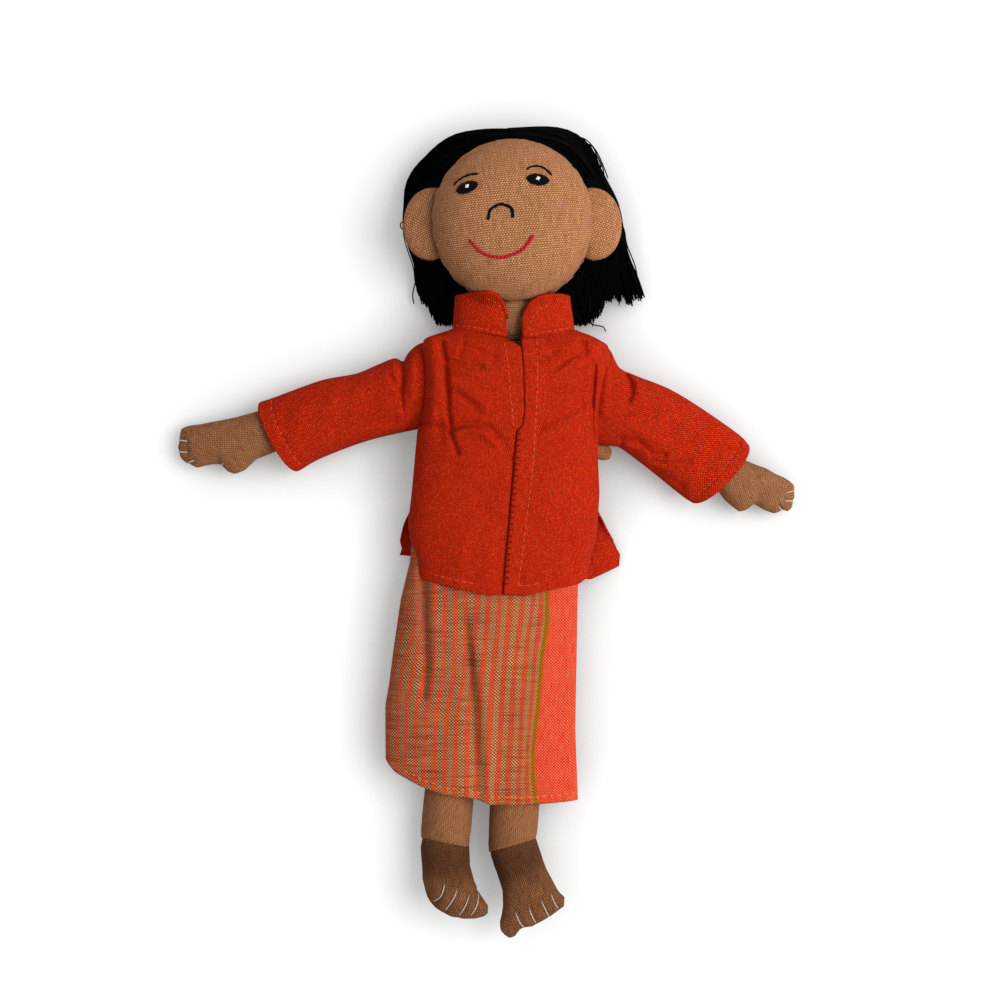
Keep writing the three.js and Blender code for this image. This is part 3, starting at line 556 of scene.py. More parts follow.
def through(points, count):
    """A smooth line through the points, with count places evenly along it."""
    knots = np.asarray(points, float)
    ends = np.vstack([2 * knots[0] - knots[1], knots, 2 * knots[-1] - knots[-2]])
    s = np.linspace(0, len(knots) - 1, 40 * len(knots))
    i = np.minimum(s.astype(int), len(knots) - 2)
    t = (s - i)[:, None]
    before, here, there, after = ends[i], ends[i + 1], ends[i + 2], ends[i + 3]
    line = 0.5 * (2 * here + (there - before) * t + (2 * before - 5 * here + 4 * there - after) * t ** 2
                  + (3 * here - before - 3 * there + after) * t ** 3)
    reach = summed(steps(line))
    even = np.linspace(0, reach[-1], count)
    return np.stack([np.interp(even, reach, line[:, k]) for k in range(line.shape[1])], 1)


def yarn(name, dark, light, rough, pitch=0.9, **fixed):
    """Twisted thread: slanting plies, light on their crowns and dark between as a painted highlight and
    painted shade, seen along the thread.
    """
    finish = Finish(name, Roughness=rough, **fixed)
    across, along, place = finish.flat_cloth()
    plies = ((along * (2 * math.pi / pitch) + across * 3.0).sum("SINE") + 1) * 0.5
    fuzz = finish.noise(place, 2.0, 3.0)
    # Painted highlight on the ply crowns and painted shade between them, with random fuzz in the tone.
    tint = finish.mix(plies * 0.6 + fuzz * 0.4, dark, light)
    finish.show(tint, None, plies + fuzz * 0.4, 0.08)
    return finish


black_thread = yarn("black_embroidery_thread", "010101", "09090b", 0.7, Specular_IOR_Level=0.06)
red_thread = yarn("red_embroidery_thread", "70000c", "e0142c", 0.6, 1.3, Specular_IOR_Level=0.15)
white_thread = yarn("white_embroidery_thread", "968c80", "dcd6ce", 0.6, Specular_IOR_Level=0.2)
glint_thread = yarn("bright_embroidery_thread", "d8d8dc", "f4f4f6", 0.6, Specular_IOR_Level=0.2)


def stitches(name, lines, radius, finish, sides=7, flat=0.8):
    """Short threads, one for each line of points: thin at both ends, a little flat, with pointed ends."""
    lines = np.asarray(lines, float)
    rows = lines.shape[1]
    share = np.linspace(0, 1, rows)
    size = radius * np.clip(1 - np.abs(2 * share - 1) ** 6, 0.12, 1)
    grid = carried(lines, size, size * flat, turns(sides))
    round_it = np.arange(sides + 1) / sides * 2.0
    cloth = np.stack(np.broadcast_arrays(round_it[None, None], summed(steps(lines, 1))[..., None]), -1)
    return sew(name, grid, finish, shut=True, cloth=cloth)


def satin(at, halves, tilt, count, cloud, lift, bulge=0.35, slant=0.12, rows=9, seed=1):
    """Threads side by side across an oval of those half sizes, turned by the tilt: each leans by the
    slant and is a low arch over the cloth."""
    picked = np.random.default_rng(seed)
    x = np.linspace(-1, 1, count) * 0.96
    reach = np.sqrt(1 - x ** 2) * halves[1] * (1 + picked.uniform(-0.06, 0.08, count))
    t = np.linspace(-1, 1, rows)
    along_x = x[:, None] * halves[0] + slant * reach[:, None] * t
    along_y = reach[:, None] * t
    turned = np.stack([at[0] + along_x * math.cos(tilt) - along_y * math.sin(tilt),
                       at[1] + along_x * math.sin(tilt) + along_y * math.cos(tilt)], -1)
    placed = resting(turned, cloud, lift)
    placed[..., 2] += bulge * (1 - t ** 2)
    return placed


def backstitch(points, length, cloud, lift, space, arch=0.12, rows=7):
    """A line cut into stitches of about that length with a little space between, each slightly arched."""
    line = through(points, 400)
    count = max(1, round(steps(line).sum() / length))
    within = np.linspace(space / length / 2, 1 - space / length / 2, rows)
    share = (np.arange(count)[:, None] + within[None]) / count
    spots = np.stack([np.interp(share, np.linspace(0, 1, 400), line[:, k]) for k in range(2)], -1)
    placed = resting(spots, cloud, lift)
    placed[..., 2] += arch * np.sin(np.linspace(0, math.pi, rows))
    return placed


def cord(name, points, cloud, radius, finish, lift, bead, ends, count=90):
    """One stitched line laid on the cloth: a thread drawn in a little between its stitches, which are
    bead long, its ends rounded and thicker or thinner by the factors given."""
    line = resting(through(points, count), cloud, lift)
    run = summed(steps(line))
    t = run / run[-1]
    beads = np.abs(np.sin(run * math.pi / bead))
    size = radius * (0.78 + 0.22 * beads) * (ends[0] + (ends[1] - ends[0]) * t)
    size = size * np.sqrt(np.clip(1 - np.abs(2 * t - 1) ** 40, 0.02, 1))
    line[:, 2] += 0.12 * beads
    grid = carried(line, size, size * 0.85, turns(9))
    cloth = np.stack(np.broadcast_arrays(np.arange(10)[None] / 9 * 2, run[:, None]), -1)
    return sew(name, grid, finish, shut=True, cloth=cloth)


face_cloud = head_points[head_points[:, 2] > head_at[2] + 3]
eyes = {"left": ((18.8, 125.7), -8), "right": ((-6.6, 123.2), 15)}
brows = {"left": [[14.6, 129.2], [16.2, 130.4], [19.1, 130.8], [21.8, 129.6], [23.8, 127.4]],
         "right": [[-11.6, 124.4], [-9.8, 126.2], [-7.0, 127.6], [-4.8, 128.1], [-2.5, 128.0]]}
sewn_pieces = []
for side, (at, tilt) in eyes.items():
    turn = math.radians(tilt)
    lower = satin(at, (3.9, 2.35), turn, 17, face_cloud, 0.35, seed=2)
    upper = satin(at, (3.5, 1.9), turn, 13, face_cloud, 0.6, slant=-0.1, seed=3)
    eye_piece = stitches("eye_threads_" + side, np.concatenate([lower, upper]), 0.33, black_thread)
    knot = satin((at[0], at[1] + 0.3), (0.5, 0.75), turn + 0.5, 3, face_cloud, 1.0, bulge=0.3, rows=7)
    knot_piece = stitches("glint_threads_" + side, knot, 0.36, glint_thread)
    brow_piece = cord("brow_threads_" + side, brows[side], face_cloud, 0.42, black_thread, 0.15, 2.7,
                      ends=(0.8, 1.05))
    sewn_pieces += [(eye_piece, "eye_" + side, "black_thread"), (knot_piece, "glint_" + side, "white_thread"),
                    (brow_piece, "brow_" + side, "black_thread")]
nose_points = [[0.9, 111], [2, 114.9], [5.6, 116.7], [9.2, 115.2], [9.8, 111.8]]
mouth_points = [[-5.9, 104.4], [-0.9, 99.6], [5.6, 98], [12.9, 100.4], [17.3, 105.8]]
nose_piece = cord("nose_threads", nose_points, face_cloud, 0.56, black_thread, 0.2, 2.4, ends=(0.95, 1.1))
mouth_piece = cord("mouth_threads", mouth_points, face_cloud, 0.56, red_thread, 0.25, 1.5, count=160,
                   ends=(0.85, 1.3))
sewn_pieces += [(nose_piece, "nose_stitch", "black_thread"), (mouth_piece, "mouth_stitch", "red_thread")]
for piece, node, thread in sewn_pieces:
    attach(piece, "head")
    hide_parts(node)

# The hair: lengths of black thread sewn down along a seam over the crown, combed to both sides
# behind the ears and cut off at the shoulders, on a mass of the same thread over the back.
hair_finish = Finish("black_hair_thread", Roughness=0.6, Specular_IOR_Level=0.015)
hair_across, hair_along, _ = hair_finish.flat_cloth()
strand = hair_finish.noise(hair_finish.vector(hair_across * 2.2, hair_along * 0.04), 1.0, 3.0, 0.7)
hair_tint = hair_finish.mix((strand - 0.5) * 4.0, "010101", "181618")
hair_finish.show(hair_tint, strand * 0.3 + 0.5, strand, 0.3)

cap_low, cap_high, cap_rise = 99, 149.2, 35.6
cap_y = cap_low + (cap_high - cap_low) * np.sin(np.linspace(0, 1, 30) * math.pi / 2)
up_share = np.clip((cap_y - head_at[1]) / cap_rise, 0, 1)
cap_half = rounded([[cap_low, 24], [108, 30], [119, 36], [123, 37]], cap_y, 4)
cap_half = np.maximum(cap_half * np.sqrt(1 - up_share ** 2.2), 6)
cap_front = 23.5 - 5.5 * up_share ** 2
cap_back = 0.2 + 8.8 * up_share ** 2
cap_c, cap_s = power_wave(turns(96), 2.6)
cap_x = head_at[0] + cap_half[:, None] * cap_c
cap_middle, cap_thick = middle_half(cap_back, cap_front)
cap_z = cap_middle[:, None] + cap_thick[:, None] * cap_s
ear_gap = (np.abs(cap_x - head_at[0]) > 18) & (cap_y[:, None] < 127)
cap_z = np.where(ear_gap, np.minimum(cap_z, 17.5), cap_z)
cap_z = cap_z + 0.5 * np.sin(cap_x * 2.1 + cap_y[:, None] * 0.4)
cap_z = np.maximum(cap_z, 0.1)
cap_grid = np.stack([cap_x, np.broadcast_to(cap_y[:, None], cap_x.shape), cap_z], -1)
cap_cloth = round_and_along(cap_grid)[..., ::-1]
hair_cap = sew("hair_crown_thread", cap_grid, hair_finish, shut=True, cloth=cap_cloth)


hair_high = [[0, 28.5], [0.22, 27], [0.4, 18], [0.7, 14], [1, 10.5]]
hair_low = [[0, 18], [0.25, 12], [0.45, 5], [1, 1.0]]
hair_radius, hair_waver = 0.3, 0.75


def strands(name, guides, count, seed, ends, rows=26, sides=3):
    """Threads combed along guide lines that lie side by side: each thread goes a share of the way across
    the guides, at a height between the hair's low and high, wavers a little and stops at its cut end.
    ends gives, across the guides, the share of the length at which the threads are cut."""
    picked = np.random.default_rng(seed)
    share = picked.uniform(0, 1, count)
    layer = picked.uniform(0, 1, count)
    s = np.linspace(0, 1, rows)
    lines = np.stack([through(np.column_stack([guide, np.zeros(len(guide))]), 200) for guide in guides])
    cut = np.interp(share, *np.array(ends, float).T) * picked.uniform(0.955, 1.012, count)
    cut = cut * (1 + 0.014 * np.sin(share * 97) + 0.01 * np.sin(share * 61 + 1))
    at = np.clip(s[None] * cut[:, None], 0, 1) * 199
    i = at.astype(int).clip(0, 198)
    f = (at - i)[..., None]
    beside = share[:, None] * (len(guides) - 1)
    g = beside.astype(int).clip(0, len(guides) - 2)
    b = (beside - g)[..., None]
    near = lines[g, i] * (1 - f) + lines[g, i + 1] * f
    far = lines[g + 1, i] * (1 - f) + lines[g + 1, i + 1] * f
    line = near + (far - near) * b
    grow = np.minimum(1, 4 * s)[None]
    for axis in (0, 1):
        wave = np.sin(s[None] * picked.uniform(4, 9, (count, 1)) + picked.uniform(0, 6, (count, 1)))
        line[..., axis] += wave * hair_waver * grow * picked.uniform(0.3, 1.3, (count, 1))
    stray_end = picked.uniform(-1, 1, (count, 1)) * picked.uniform(0, 1, (count, 1)) ** 3 * 2.5
    line[..., 0] += stray_end * s[None] ** 6
    top = np.interp(s, *np.array(hair_high).T)[None] * (1 - 0.3 * share[:, None] ** 2)
    bottom = np.interp(s, *np.array(hair_low).T)[None]
    line[..., 2] = bottom + (top - bottom) * np.sqrt(layer)[:, None]
    size = hair_radius * picked.uniform(0.8, 1.2, (count, 1))
    grid = carried(line, size, size, turns(sides), up=(0.0, 0.1, 1.0))
    along = np.broadcast_to(s[None, :, None] * 60, (count, rows, sides + 1))
    across = picked.uniform(0, 40, (count, 1, 1)) + np.arange(sides + 1)[None, None] * 0.3
    return sew(name, grid, hair_finish, shut=True, cloth=np.stack(np.broadcast_arrays(across, along), -1))


right_guides = [
    [[9, 138.5], [-1, 136.5], [-12, 128], [-15, 116], [-11, 105], [-4, 96], [-1.5, 88.6]],
    [[9, 141.5], [-4, 140.5], [-16, 132], [-20.5, 120], [-18, 108], [-12.5, 97], [-11.4, 87], [-12.6, 78.2]],
    [[10, 145], [-2, 144.2], [-15, 138], [-24, 127], [-25.5, 113], [-20.5, 100], [-16.6, 89], [-16.4, 78.0]],
    [[10.5, 148], [-1, 147.6], [-12.6, 144], [-22.6, 136.6], [-28.4, 126], [-28.6, 112], [-23.8, 99],
     [-21, 88.4], [-19, 78.4]],
    [[11, 149.8], [0, 149.4], [-9.8, 147.8], [-17, 144.6], [-24.8, 138.2], [-28.9, 132.8], [-31, 125.4],
     [-30.8, 113], [-27.2, 101], [-26.6, 94.3], [-24.2, 86], [-22, 78.8]],
]
left_guides = [
    [[9, 138.5], [19, 136.5], [30, 128], [33.5, 116], [29.6, 105], [23.4, 96], [21.4, 88.6]],
    [[9, 141.5], [22, 141], [34, 132], [40, 120], [37.5, 107], [31, 97], [30.6, 87], [34.4, 78.2]],
    [[9, 145], [20, 145], [34, 139.6], [42.4, 127], [44.6, 113], [39, 100], [36.5, 89], [38.4, 78.2]],
    [[8.6, 148.4], [18, 148.6], [30, 145.6], [38.4, 138], [44.8, 127], [48.4, 114], [47, 102], [45.4, 91],
     [43.6, 79.4]],
    [[8, 149.8], [16, 150.1], [24, 150], [31, 148.8], [36, 146.6], [39.7, 142.8], [42.4, 136.6],
     [45.8, 130.6], [49.6, 123.6], [51.9, 112.2], [54.2, 103], [57.2, 95], [59.8, 86.2]],
]
right_cut = [[0, 1], [0.25, 1], [0.7, 0.99], [0.85, 0.95], [1, 0.88]]
left_cut = [[0, 1], [0.45, 1], [0.6, 0.985], [0.72, 0.95], [0.8, 0.92], [0.9, 0.95], [1, 0.985]]
hair_right = strands("hair_right_threads", right_guides, 800, 5, right_cut)
hair_left = strands("hair_left_threads", left_guides, 920, 6, left_cut)
stray_lines = [
    [[-27, 116, 9], [-30.2, 117.4, 8], [-32.6, 116.6, 7], [-32.2, 114.6, 6.6], [-29.6, 114.4, 6]],
    [[-25.6, 97, 7], [-27.4, 93.4, 5], [-28.2, 89.4, 3.6], [-27.8, 86.4, 2.6]],
    [[38.6, 80, 5], [41.2, 78.2, 4], [44.6, 77.6, 3], [45.8, 75.8, 2.4]],
    [[37, 143, 17], [40.6, 141.8, 15], [43.2, 138, 12], [42.6, 134.6, 10], [40, 134.4, 9]],
    [[35, 145, 17], [39.4, 144.6, 15], [42, 141.2, 12], [44.4, 135.6, 11], [44.2, 131, 9]],
    [[31, 146.6, 18], [36.6, 147, 16], [41, 143.6, 13], [43.6, 139, 12], [46.2, 133.4, 9]],
    [[-12, 146.4, 16], [-9.6, 148.6, 15], [-6.4, 148.4, 15], [-4, 150.2, 15], [-1, 149, 15]],
    [[2, 149.2, 16], [5.4, 150.8, 15], [9.4, 150.2, 15], [13, 151.2, 15], [17.4, 149.6, 15]],
    [[16, 149.4, 16], [20.4, 150.6, 15], [25, 149.2, 15], [29.6, 148.8, 14], [33.6, 146, 14]],
    [[50, 118, 10], [52.4, 114, 8], [53.6, 108.6, 6], [56.8, 101, 4], [58, 95.4, 3]],
]
stray_rows, stray_radius = 26, 0.24
stray_grid = np.stack([through(line, stray_rows) for line in stray_lines])
stray_grid = carried(stray_grid, stray_radius, stray_radius, turns(6), up=(0.05, 0.1, 1.0))
stray_cloth = np.stack(np.broadcast_arrays(np.arange(7) * 0.3, np.arange(stray_rows)[:, None] * 0.6), -1)
stray_hair = sew("hair_stray_threads", stray_grid, hair_finish, shut=True, cloth=stray_cloth)
for piece in (hair_right, hair_left, stray_hair, hair_cap):
    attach(piece, "head")
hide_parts("hair_crown", "hair_nape")
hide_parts("hair_right")
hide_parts("hair_left")

# The arms: one stuffed tube of skin cotton each, sewn on at the shoulder and flattened into a mitten
# hand with a thumb. White thread drawn over the edge marks the fingers.
pad_power = 2.2


def pad(axis, low, high, reach, rise, thick, rows, columns, root=8.0, blunt=7.0):
    """A stuffed pad seen in plan. Its axis is a line of points; low and high are the two edges'
    distances from it by distance along it; reach is how far it goes by offset, which draws its end;
    rise and thick are the middle's height and half thickness along it. Sections are boxy circles,
    rounded off at the root over a length and at the end by a power."""
    line = through(axis, 300)
    length = steps(line).sum()
    run = np.linspace(0, length, 300)
    way = unit(np.gradient(line, axis=0))
    c, h = power_wave(turns(columns), pad_power)
    w = (c + 1) / 2
    t = (1 - np.cos(np.linspace(0, 1, rows) * math.pi)) / 2
    t = 0.5 * t + 0.5 * np.linspace(0, 1, rows)
    end_low, end_high = (np.interp(length, *np.array(edge).T) for edge in (low, high))
    s = t[:, None] * rounded(reach, end_low * (1 - w) + end_high * w, 1.6)[None]
    lower, upper = rounded(low, s, 1.2), rounded(high, s, 1.2)
    start = dome(s / root) if root else 1.0
    tip = np.sqrt(np.clip(1 - t ** blunt, 0, 1))[:, None]
    middle, half = middle_half(lower, upper)
    offset = middle + half * c[None] * start
    x = np.interp(s, run, line[:, 0]) - np.interp(s, run, way[:, 1]) * offset
    y = np.interp(s, run, line[:, 1]) + np.interp(s, run, way[:, 0]) * offset
    past = np.maximum(s - length, 0)
    x += past * way[-1, 0]
    y += past * way[-1, 1]
    z = rounded(rise, s, 3) + rounded(thick, s, 3) * h[None] * start * tip
    return np.stack([x, y, z], -1)


def turned(cloth, angle):
    """Flat cloth cut at an angle to its threads."""
    c, s = math.cos(angle), math.sin(angle)
    return np.stack([cloth[..., 0] * c - cloth[..., 1] * s, cloth[..., 0] * s + cloth[..., 1] * c], -1)


arm_rows, arm_columns = 110, 60
arm_thick = [[0, 8], [15, 7.2], [30, 6.3], [66, 6.3], [84, 6.2], [104, 5.4]]
arms = {
    "right": {
        "axis": [[-18.9, 56.3], [-26.6, 54], [-50, 47.3], [-80.5, 38.2], [-117.4, 31.8]],
        "rise": [[0, 12.5], [8, 12.5], [64, 8.8], [102, 6.6]],
        "wrist": 64.6,
        "high": [[-1.2, 8.6], [8.4, 10.3], [13.6, 13.8], [17.4, 14.5], [19.7, 13.1], [22, 10.0], [25, 9.5],
                 [31.2, 9.6], [35.4, 6.6], [37, 4.6]],
        "low": [[-1.2, -9.1], [4.2, -8.4], [13.6, -7.6], [25, -7.3], [33, -6.8], [37, -5.4]],
        "reach": [[-6, -2.6], [-4, -1.4], [0.6, 0.2], [4, 0], [7, -2.2]],
        "threads": [[[-113.2, 33.5], [-116.4, 33.9]], [[-113.2, 29.3], [-116.6, 29.5]],
                    [[-110.8, 26.2], [-112.8, 25.5]]],
        "thumb": [[-99.4, 25.2], [-100.4, 24.4]],
    },
    "left": {
        "axis": [[37.7, 56.4], [45.4, 54], [68, 37.2], [91.2, 20.2], [117.3, 12]],
        "rise": [[0, 12.5], [8, 12.5], [64, 8.8], [92, 6.6]],
        "wrist": 64.8,
        "high": [[-1.2, 8.6], [5, 9.0], [14.5, 8.5], [23.8, 5.9], [26.5, 4.6]],
        "low": [[-0.6, -6.4], [3.5, -9.0], [8.8, -10.9], [11.2, -9.4], [13.2, -6.6], [17, -7.7], [21.4, -8],
                [25.5, -5.6]],
        "reach": [[-6, -1.2], [-4, 0.2], [0.4, 0], [4, -1.2], [6, -2.8]],
        "threads": [[[113.8, 14.0], [116.4, 14.6]], [[113, 10.9], [116.4, 10.8]],
                    [[110.8, 8.8], [112.2, 7.2]]],
        "thumb": None,
    },
}


def dented(grid, lines, depth, width):
    """Points near the lines are drawn in towards their own row's middle, as a tight thread draws cloth."""
    pull = np.clip(ridges(grid[..., 0], grid[..., 1], [(line, 1.0, width) for line in lines]), 0, 1)
    return grid + unit(grid.mean(1, keepdims=True) - grid) * pull[..., None] * depth


def drawn_over(lines, cloud, floor_z, rows=11):
    """Threads that run along each line on the cloth and on over its edge, down to a height."""
    t = np.linspace(0, 1, rows)
    at = np.minimum(t * 1.25, 1)
    fine = np.linspace(0, 1, 60)
    flat = [np.stack([np.interp(at, fine, along) for along in through(line, 60).T], -1) for line in lines]
    placed = resting(np.stack(flat), cloud, 0.2)
    drop = np.clip((t - 0.74) / 0.26, 0, 1) ** 1.5
    placed[..., 2] = placed[..., 2] * (1 - drop) + floor_z * drop
    return placed


for side, arm in arms.items():
    wrist = arm["wrist"]
    high = [[0, 8], [30, 8.3], [wrist - 6, 8.3]] + [[wrist + s, o] for s, o in arm["high"]]
    low = [[0, -8], [30, -8.3], [wrist - 6, -8.3]] + [[wrist + s, o] for s, o in arm["low"]]
    length = steps(through(arm["axis"], 300)).sum()
    reach = [[o, length + s] for o, s in arm["reach"]]
    arm_grid = pad(arm["axis"], low, high, reach, arm["rise"], arm_thick, arm_rows, arm_columns)
    arm_grid[..., 2] = np.maximum(arm_grid[..., 2], 0.6)
    arm_grid = dented(arm_grid, arm["threads"], 0.7, 0.8)
    arm_cloth = turned(round_and_along(arm_grid), 0.9)
    arm_piece = sew("arm_cloth_" + side, arm_grid, limb_skin, shut=True, cloth=arm_cloth)
    row = np.arange(arm_rows)
    stuff(arm_piece, np.repeat((row < 4) | (row > 104), arm_columns), cap=0.45)
    top = places(arm_piece)
    top = top[top[:, 2] > np.median(top[:, 2])]
    lines = arm["threads"] + ([arm["thumb"]] if arm["thumb"] else [])
    finger_piece = stitches("finger_threads_" + side, drawn_over(lines, top, 7.0), 0.24, white_thread)
    nodes = [f"finger_stitch_{side}_{i}" for i in (1, 2, 3)]
    if arm["thumb"]:
        nodes.append("thumb_stitch_right")
    for piece, slot in ((arm_piece, "skin"), (finger_piece, "white_thread")):
        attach(piece, "arm_" + side)
    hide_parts(f"arm_{side}_skin", f"arm_{side}_stuffing")
    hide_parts(*nodes)

# The legs: straight tubes of the same cotton, stuffed with fibre and sewn to the torso's lower edge,
# with a row of brown stitches over the seam at each ankle.
leg_rows, leg_columns, leg_z = 90, 56, 10.6
legs = {"left": ((16.5, -36.3), (9.8, -114.2)), "right": ((-8.5, -36.3), (-15.3, -113.6))}
leg_end = {"left": (6.9, -0.4, 0.5), "right": (6.4, 0.14, 0.0)}
ankle_thread = yarn("brown_sewing_thread", "2a1206", "5a3018", 0.8, 0.8, Specular_IOR_Level=0.05)
for side, (hip, ankle) in legs.items():
    hip, ankle = np.array([*hip, leg_z]), np.array([*ankle, leg_z])
    way = (ankle - hip) / np.linalg.norm(ankle - hip)
    past, slope, shift = leg_end[side]
    total = np.linalg.norm(ankle - hip) + 9 + past
    s = total * (1 - np.cos(np.linspace(0, 1, leg_rows) * math.pi)) / 2
    line = hip - way * 9 + way * s[:, None]
    ends = dome(s / 9) * dome((total - s) / 1.8)
    wide = rounded([[0, 9], [33, 9.6], [62, 9.1], [96, 9.2]], s, 20) * ends
    high = rounded([[0, 9], [96, 9.2]], s, 20) * ends
    leg_grid = carried(line, wide, high, turns(leg_columns))
    uneven = ripple(leg_grid[..., 1], np.arange(leg_columns)[None], 22, 11) * 0.18 * ends[:, None]
    leg_grid = leg_grid + unit(leg_grid - line[:, None]) * uneven[..., None]
    near_end = np.clip((s - total + 26) / 26, 0, 1)[:, None] ** 2
    sideways = leg_grid[..., 0] - line[:, None, 0]
    cut = slope * sideways - 0.25 * (leg_grid[..., 2] - leg_z)
    leg_grid += (near_end * cut)[..., None] * way
    leg_grid[..., 0] += near_end * (shift - 0.06 * sideways * (side == "left"))
    leg_grid[..., 2] = np.maximum(leg_grid[..., 2], 1.0)
    leg_cloth = turned(round_and_along(leg_grid), 0.5)
    leg_piece = sew("leg_cloth_" + side, leg_grid, limb_skin, shut=True, cloth=leg_cloth)
    stuff(leg_piece, np.repeat((s < 3) | (s > total - 3), leg_columns), cap=0.4)
    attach(leg_piece, "leg_" + side)
    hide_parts(f"leg_{side}_skin", f"leg_{side}_stuffing")
    ring = places(leg_piece).reshape(leg_rows, leg_columns, 3)[np.argmin(np.abs(s - total + 0.9)), 2:28]
    seam_spots = np.stack([through(ring[i:i + 2], 5) for i in range(0, 25, 2)])
    seam_piece = stitches("ankle_threads_" + side, seam_spots + [0, 0, 0.1], 0.2, ankle_thread)
    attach(seam_piece, "leg_" + side)

# The feet: separate stuffed pads sewn round the ankles, pointing up and outwards. Four white threads
# drawn tight over the front edge part the toes.
feet = {
    "left": {
        "axis": [[9.8, -114.2], [14.3, -129.1], [18.8, -144]],
        "low": [[0, -8.2], [6.2, -10.4], [10.6, -10.6], [19.1, -10.1], [24, -11.4], [28.5, -13.7],
                [31.2, -14.1], [34, -13.9]],
        "high": [[0, 7.6], [7.3, 7.9], [16.5, 8.9], [24, 10.8], [27.1, 12.2], [30, 11], [34, 6]],
        "reach": [[-14.4, 31.4], [-13.2, 34.0], [-11.6, 35.5], [-9, 35.4], [-5.9, 33.3], [-0.2, 33.8],
                  [6.1, 32.2], [9.6, 30.2], [12.6, 26.4]],
        "threads": [[[10.8, -140.9], [12.4, -144.8], [13.9, -147.2]],
                    [[15.9, -139.1], [16.9, -142.2], [18.5, -145.7]],
                    [[20.2, -136.5], [21.9, -140.0], [23.4, -143.4]],
                    [[24.1, -134.8], [25.4, -137.8], [26.7, -140.2]]],
    },
    "right": {
        "axis": [[-15.3, -113.6], [-12.9, -126], [-10.5, -138.4]],
        "low": [[0, -8.3], [5, -10.5], [8, -10.9], [16, -11.9], [21.6, -11.2], [25, -9.6]],
        "high": [[0, 7.3], [5, 7.6], [8, 7.6], [14.4, 7.0], [20, 7.7], [25, 9.4], [28.6, 10.9], [32, 10]],
        "reach": [[-12.4, 17.4], [-11, 22.2], [-8.8, 25.9], [-3.8, 29.9], [0.6, 31.6], [5, 32.4], [8.2, 32.2],
                  [10.2, 30.8], [11.6, 28.4]],
        "threads": [[[-15.2, -131.3], [-16.7, -135.7], [-19.5, -138.2]],
                    [[-10.6, -133.1], [-11.9, -136.1], [-15.1, -140.9]],
                    [[-6.0, -134.8], [-7.6, -138.7], [-10.2, -142.9]],
                    [[-2.8, -134.8], [-3.2, -138.3], [-5.6, -142.7]]],
    },
}
foot_rows, foot_columns = 90, 80
foot_rise = [[0, leg_z], [7, 10.4], [12, 11.4], [17, 14.4], [22, 18], [28, 22.2], [34, 22.6]]
foot_thick = [[0, 7.8], [6, 8.8], [11, 7.6], [17, 7.2], [22, 7.6], [28, 6.4], [34, 4.8]]
for side, foot in feet.items():
    foot_grid = pad(foot["axis"], foot["low"], foot["high"], foot["reach"], foot_rise, foot_thick,
                    foot_rows, foot_columns, root=0, blunt=5.0)
    ankle = np.array(foot["axis"][0])
    way = np.array(foot["axis"][2]) - ankle
    way /= np.linalg.norm(way)
    foot_grid = dented(foot_grid, foot["threads"], 0.7, 0.9)
    foot_grid[..., 2] = np.maximum(foot_grid[..., 2], 0.9)
    foot_piece = sew("foot_cloth_" + side, foot_grid, foot_skin, shut=True, cloth=round_and_along(foot_grid))
    row = np.arange(foot_rows)
    stuff(foot_piece, np.repeat((row < 8) | (row > 84), foot_columns), cap=0.5)
    top = places(foot_piece).reshape(foot_rows, foot_columns, 3)[:, 2:38].reshape(-1, 3)
    toes = drawn_over(foot["threads"], top, 21.0, rows=15)
    toe_piece = stitches("toe_threads_" + side, toes, 0.21, white_thread)
    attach(toe_piece, "foot_" + side)
    "leg_" + side
    "foot_" + side
    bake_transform(foot_piece)
    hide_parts(f"foot_{side}_skin", f"foot_{side}_stuffing")
    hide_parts(*[f"toe_stitch_{side}_{i}" for i in (1, 2, 3, 4)])

# The waistband: the folded top edge of the skirt's handwoven cotton, drawn tight round the waist
# under the shirt, where it holds the skirt.
waist_level = np.linspace(0.3, 12, 13)
waist_angles = turns(120)[None] + 0 * waist_level[:, None]
garment_power = 2.6


def garment(level, angles, left, right, front, back, inset=0.0):
    """A boxy oval across the body: for each level and angle the place between the left and right edges
    and between back and front, all given along the levels and their corners rounded, less an inset."""
    left, right, front, back = (rounded(table, level, 3)[:, None] for table in (left, right, front, back))
    (middle_x, half_x), (middle_z, half_z) = middle_half(left, right), middle_half(back, front)
    c, s = power_wave(angles, garment_power)
    return middle_x + c * (half_x - inset), middle_z + s * (half_z - inset)


def spread(grid):
    """Flat cloth of an open or round sheet: the length along each row and down its middle column."""
    across, along = summed(steps(grid, 1)), summed(steps(grid).mean(1))
    return np.stack([across, np.broadcast_to(along[:, None], across.shape)], -1)


def cloth_size(grid):
    """Width, length and area of the sheet in metres, measured over its grid."""
    cells = np.cross(grid[1:, 1:] - grid[:-1, :-1], grid[1:, :-1] - grid[:-1, 1:])
    area = np.linalg.norm(cells, axis=2).sum() / 2
    wide, long = steps(grid, 1).sum(1).max(), steps(grid).sum(0).max()
    return (wide / 1000, long / 1000), min(area / 1e6, wide * long / 1e6)


def thicken(piece, thickness):
    """Gives the sheet its thickness, inwards from the modelled side."""
    wall = piece.modifiers.new("thickness", "SOLIDIFY")
    wall.thickness, wall.offset = thickness / 1000, -1


def sheet(piece, grid, thickness, held, rests_on, **more):
    flat, share = cloth_size(grid)
    thicken(piece, thickness)


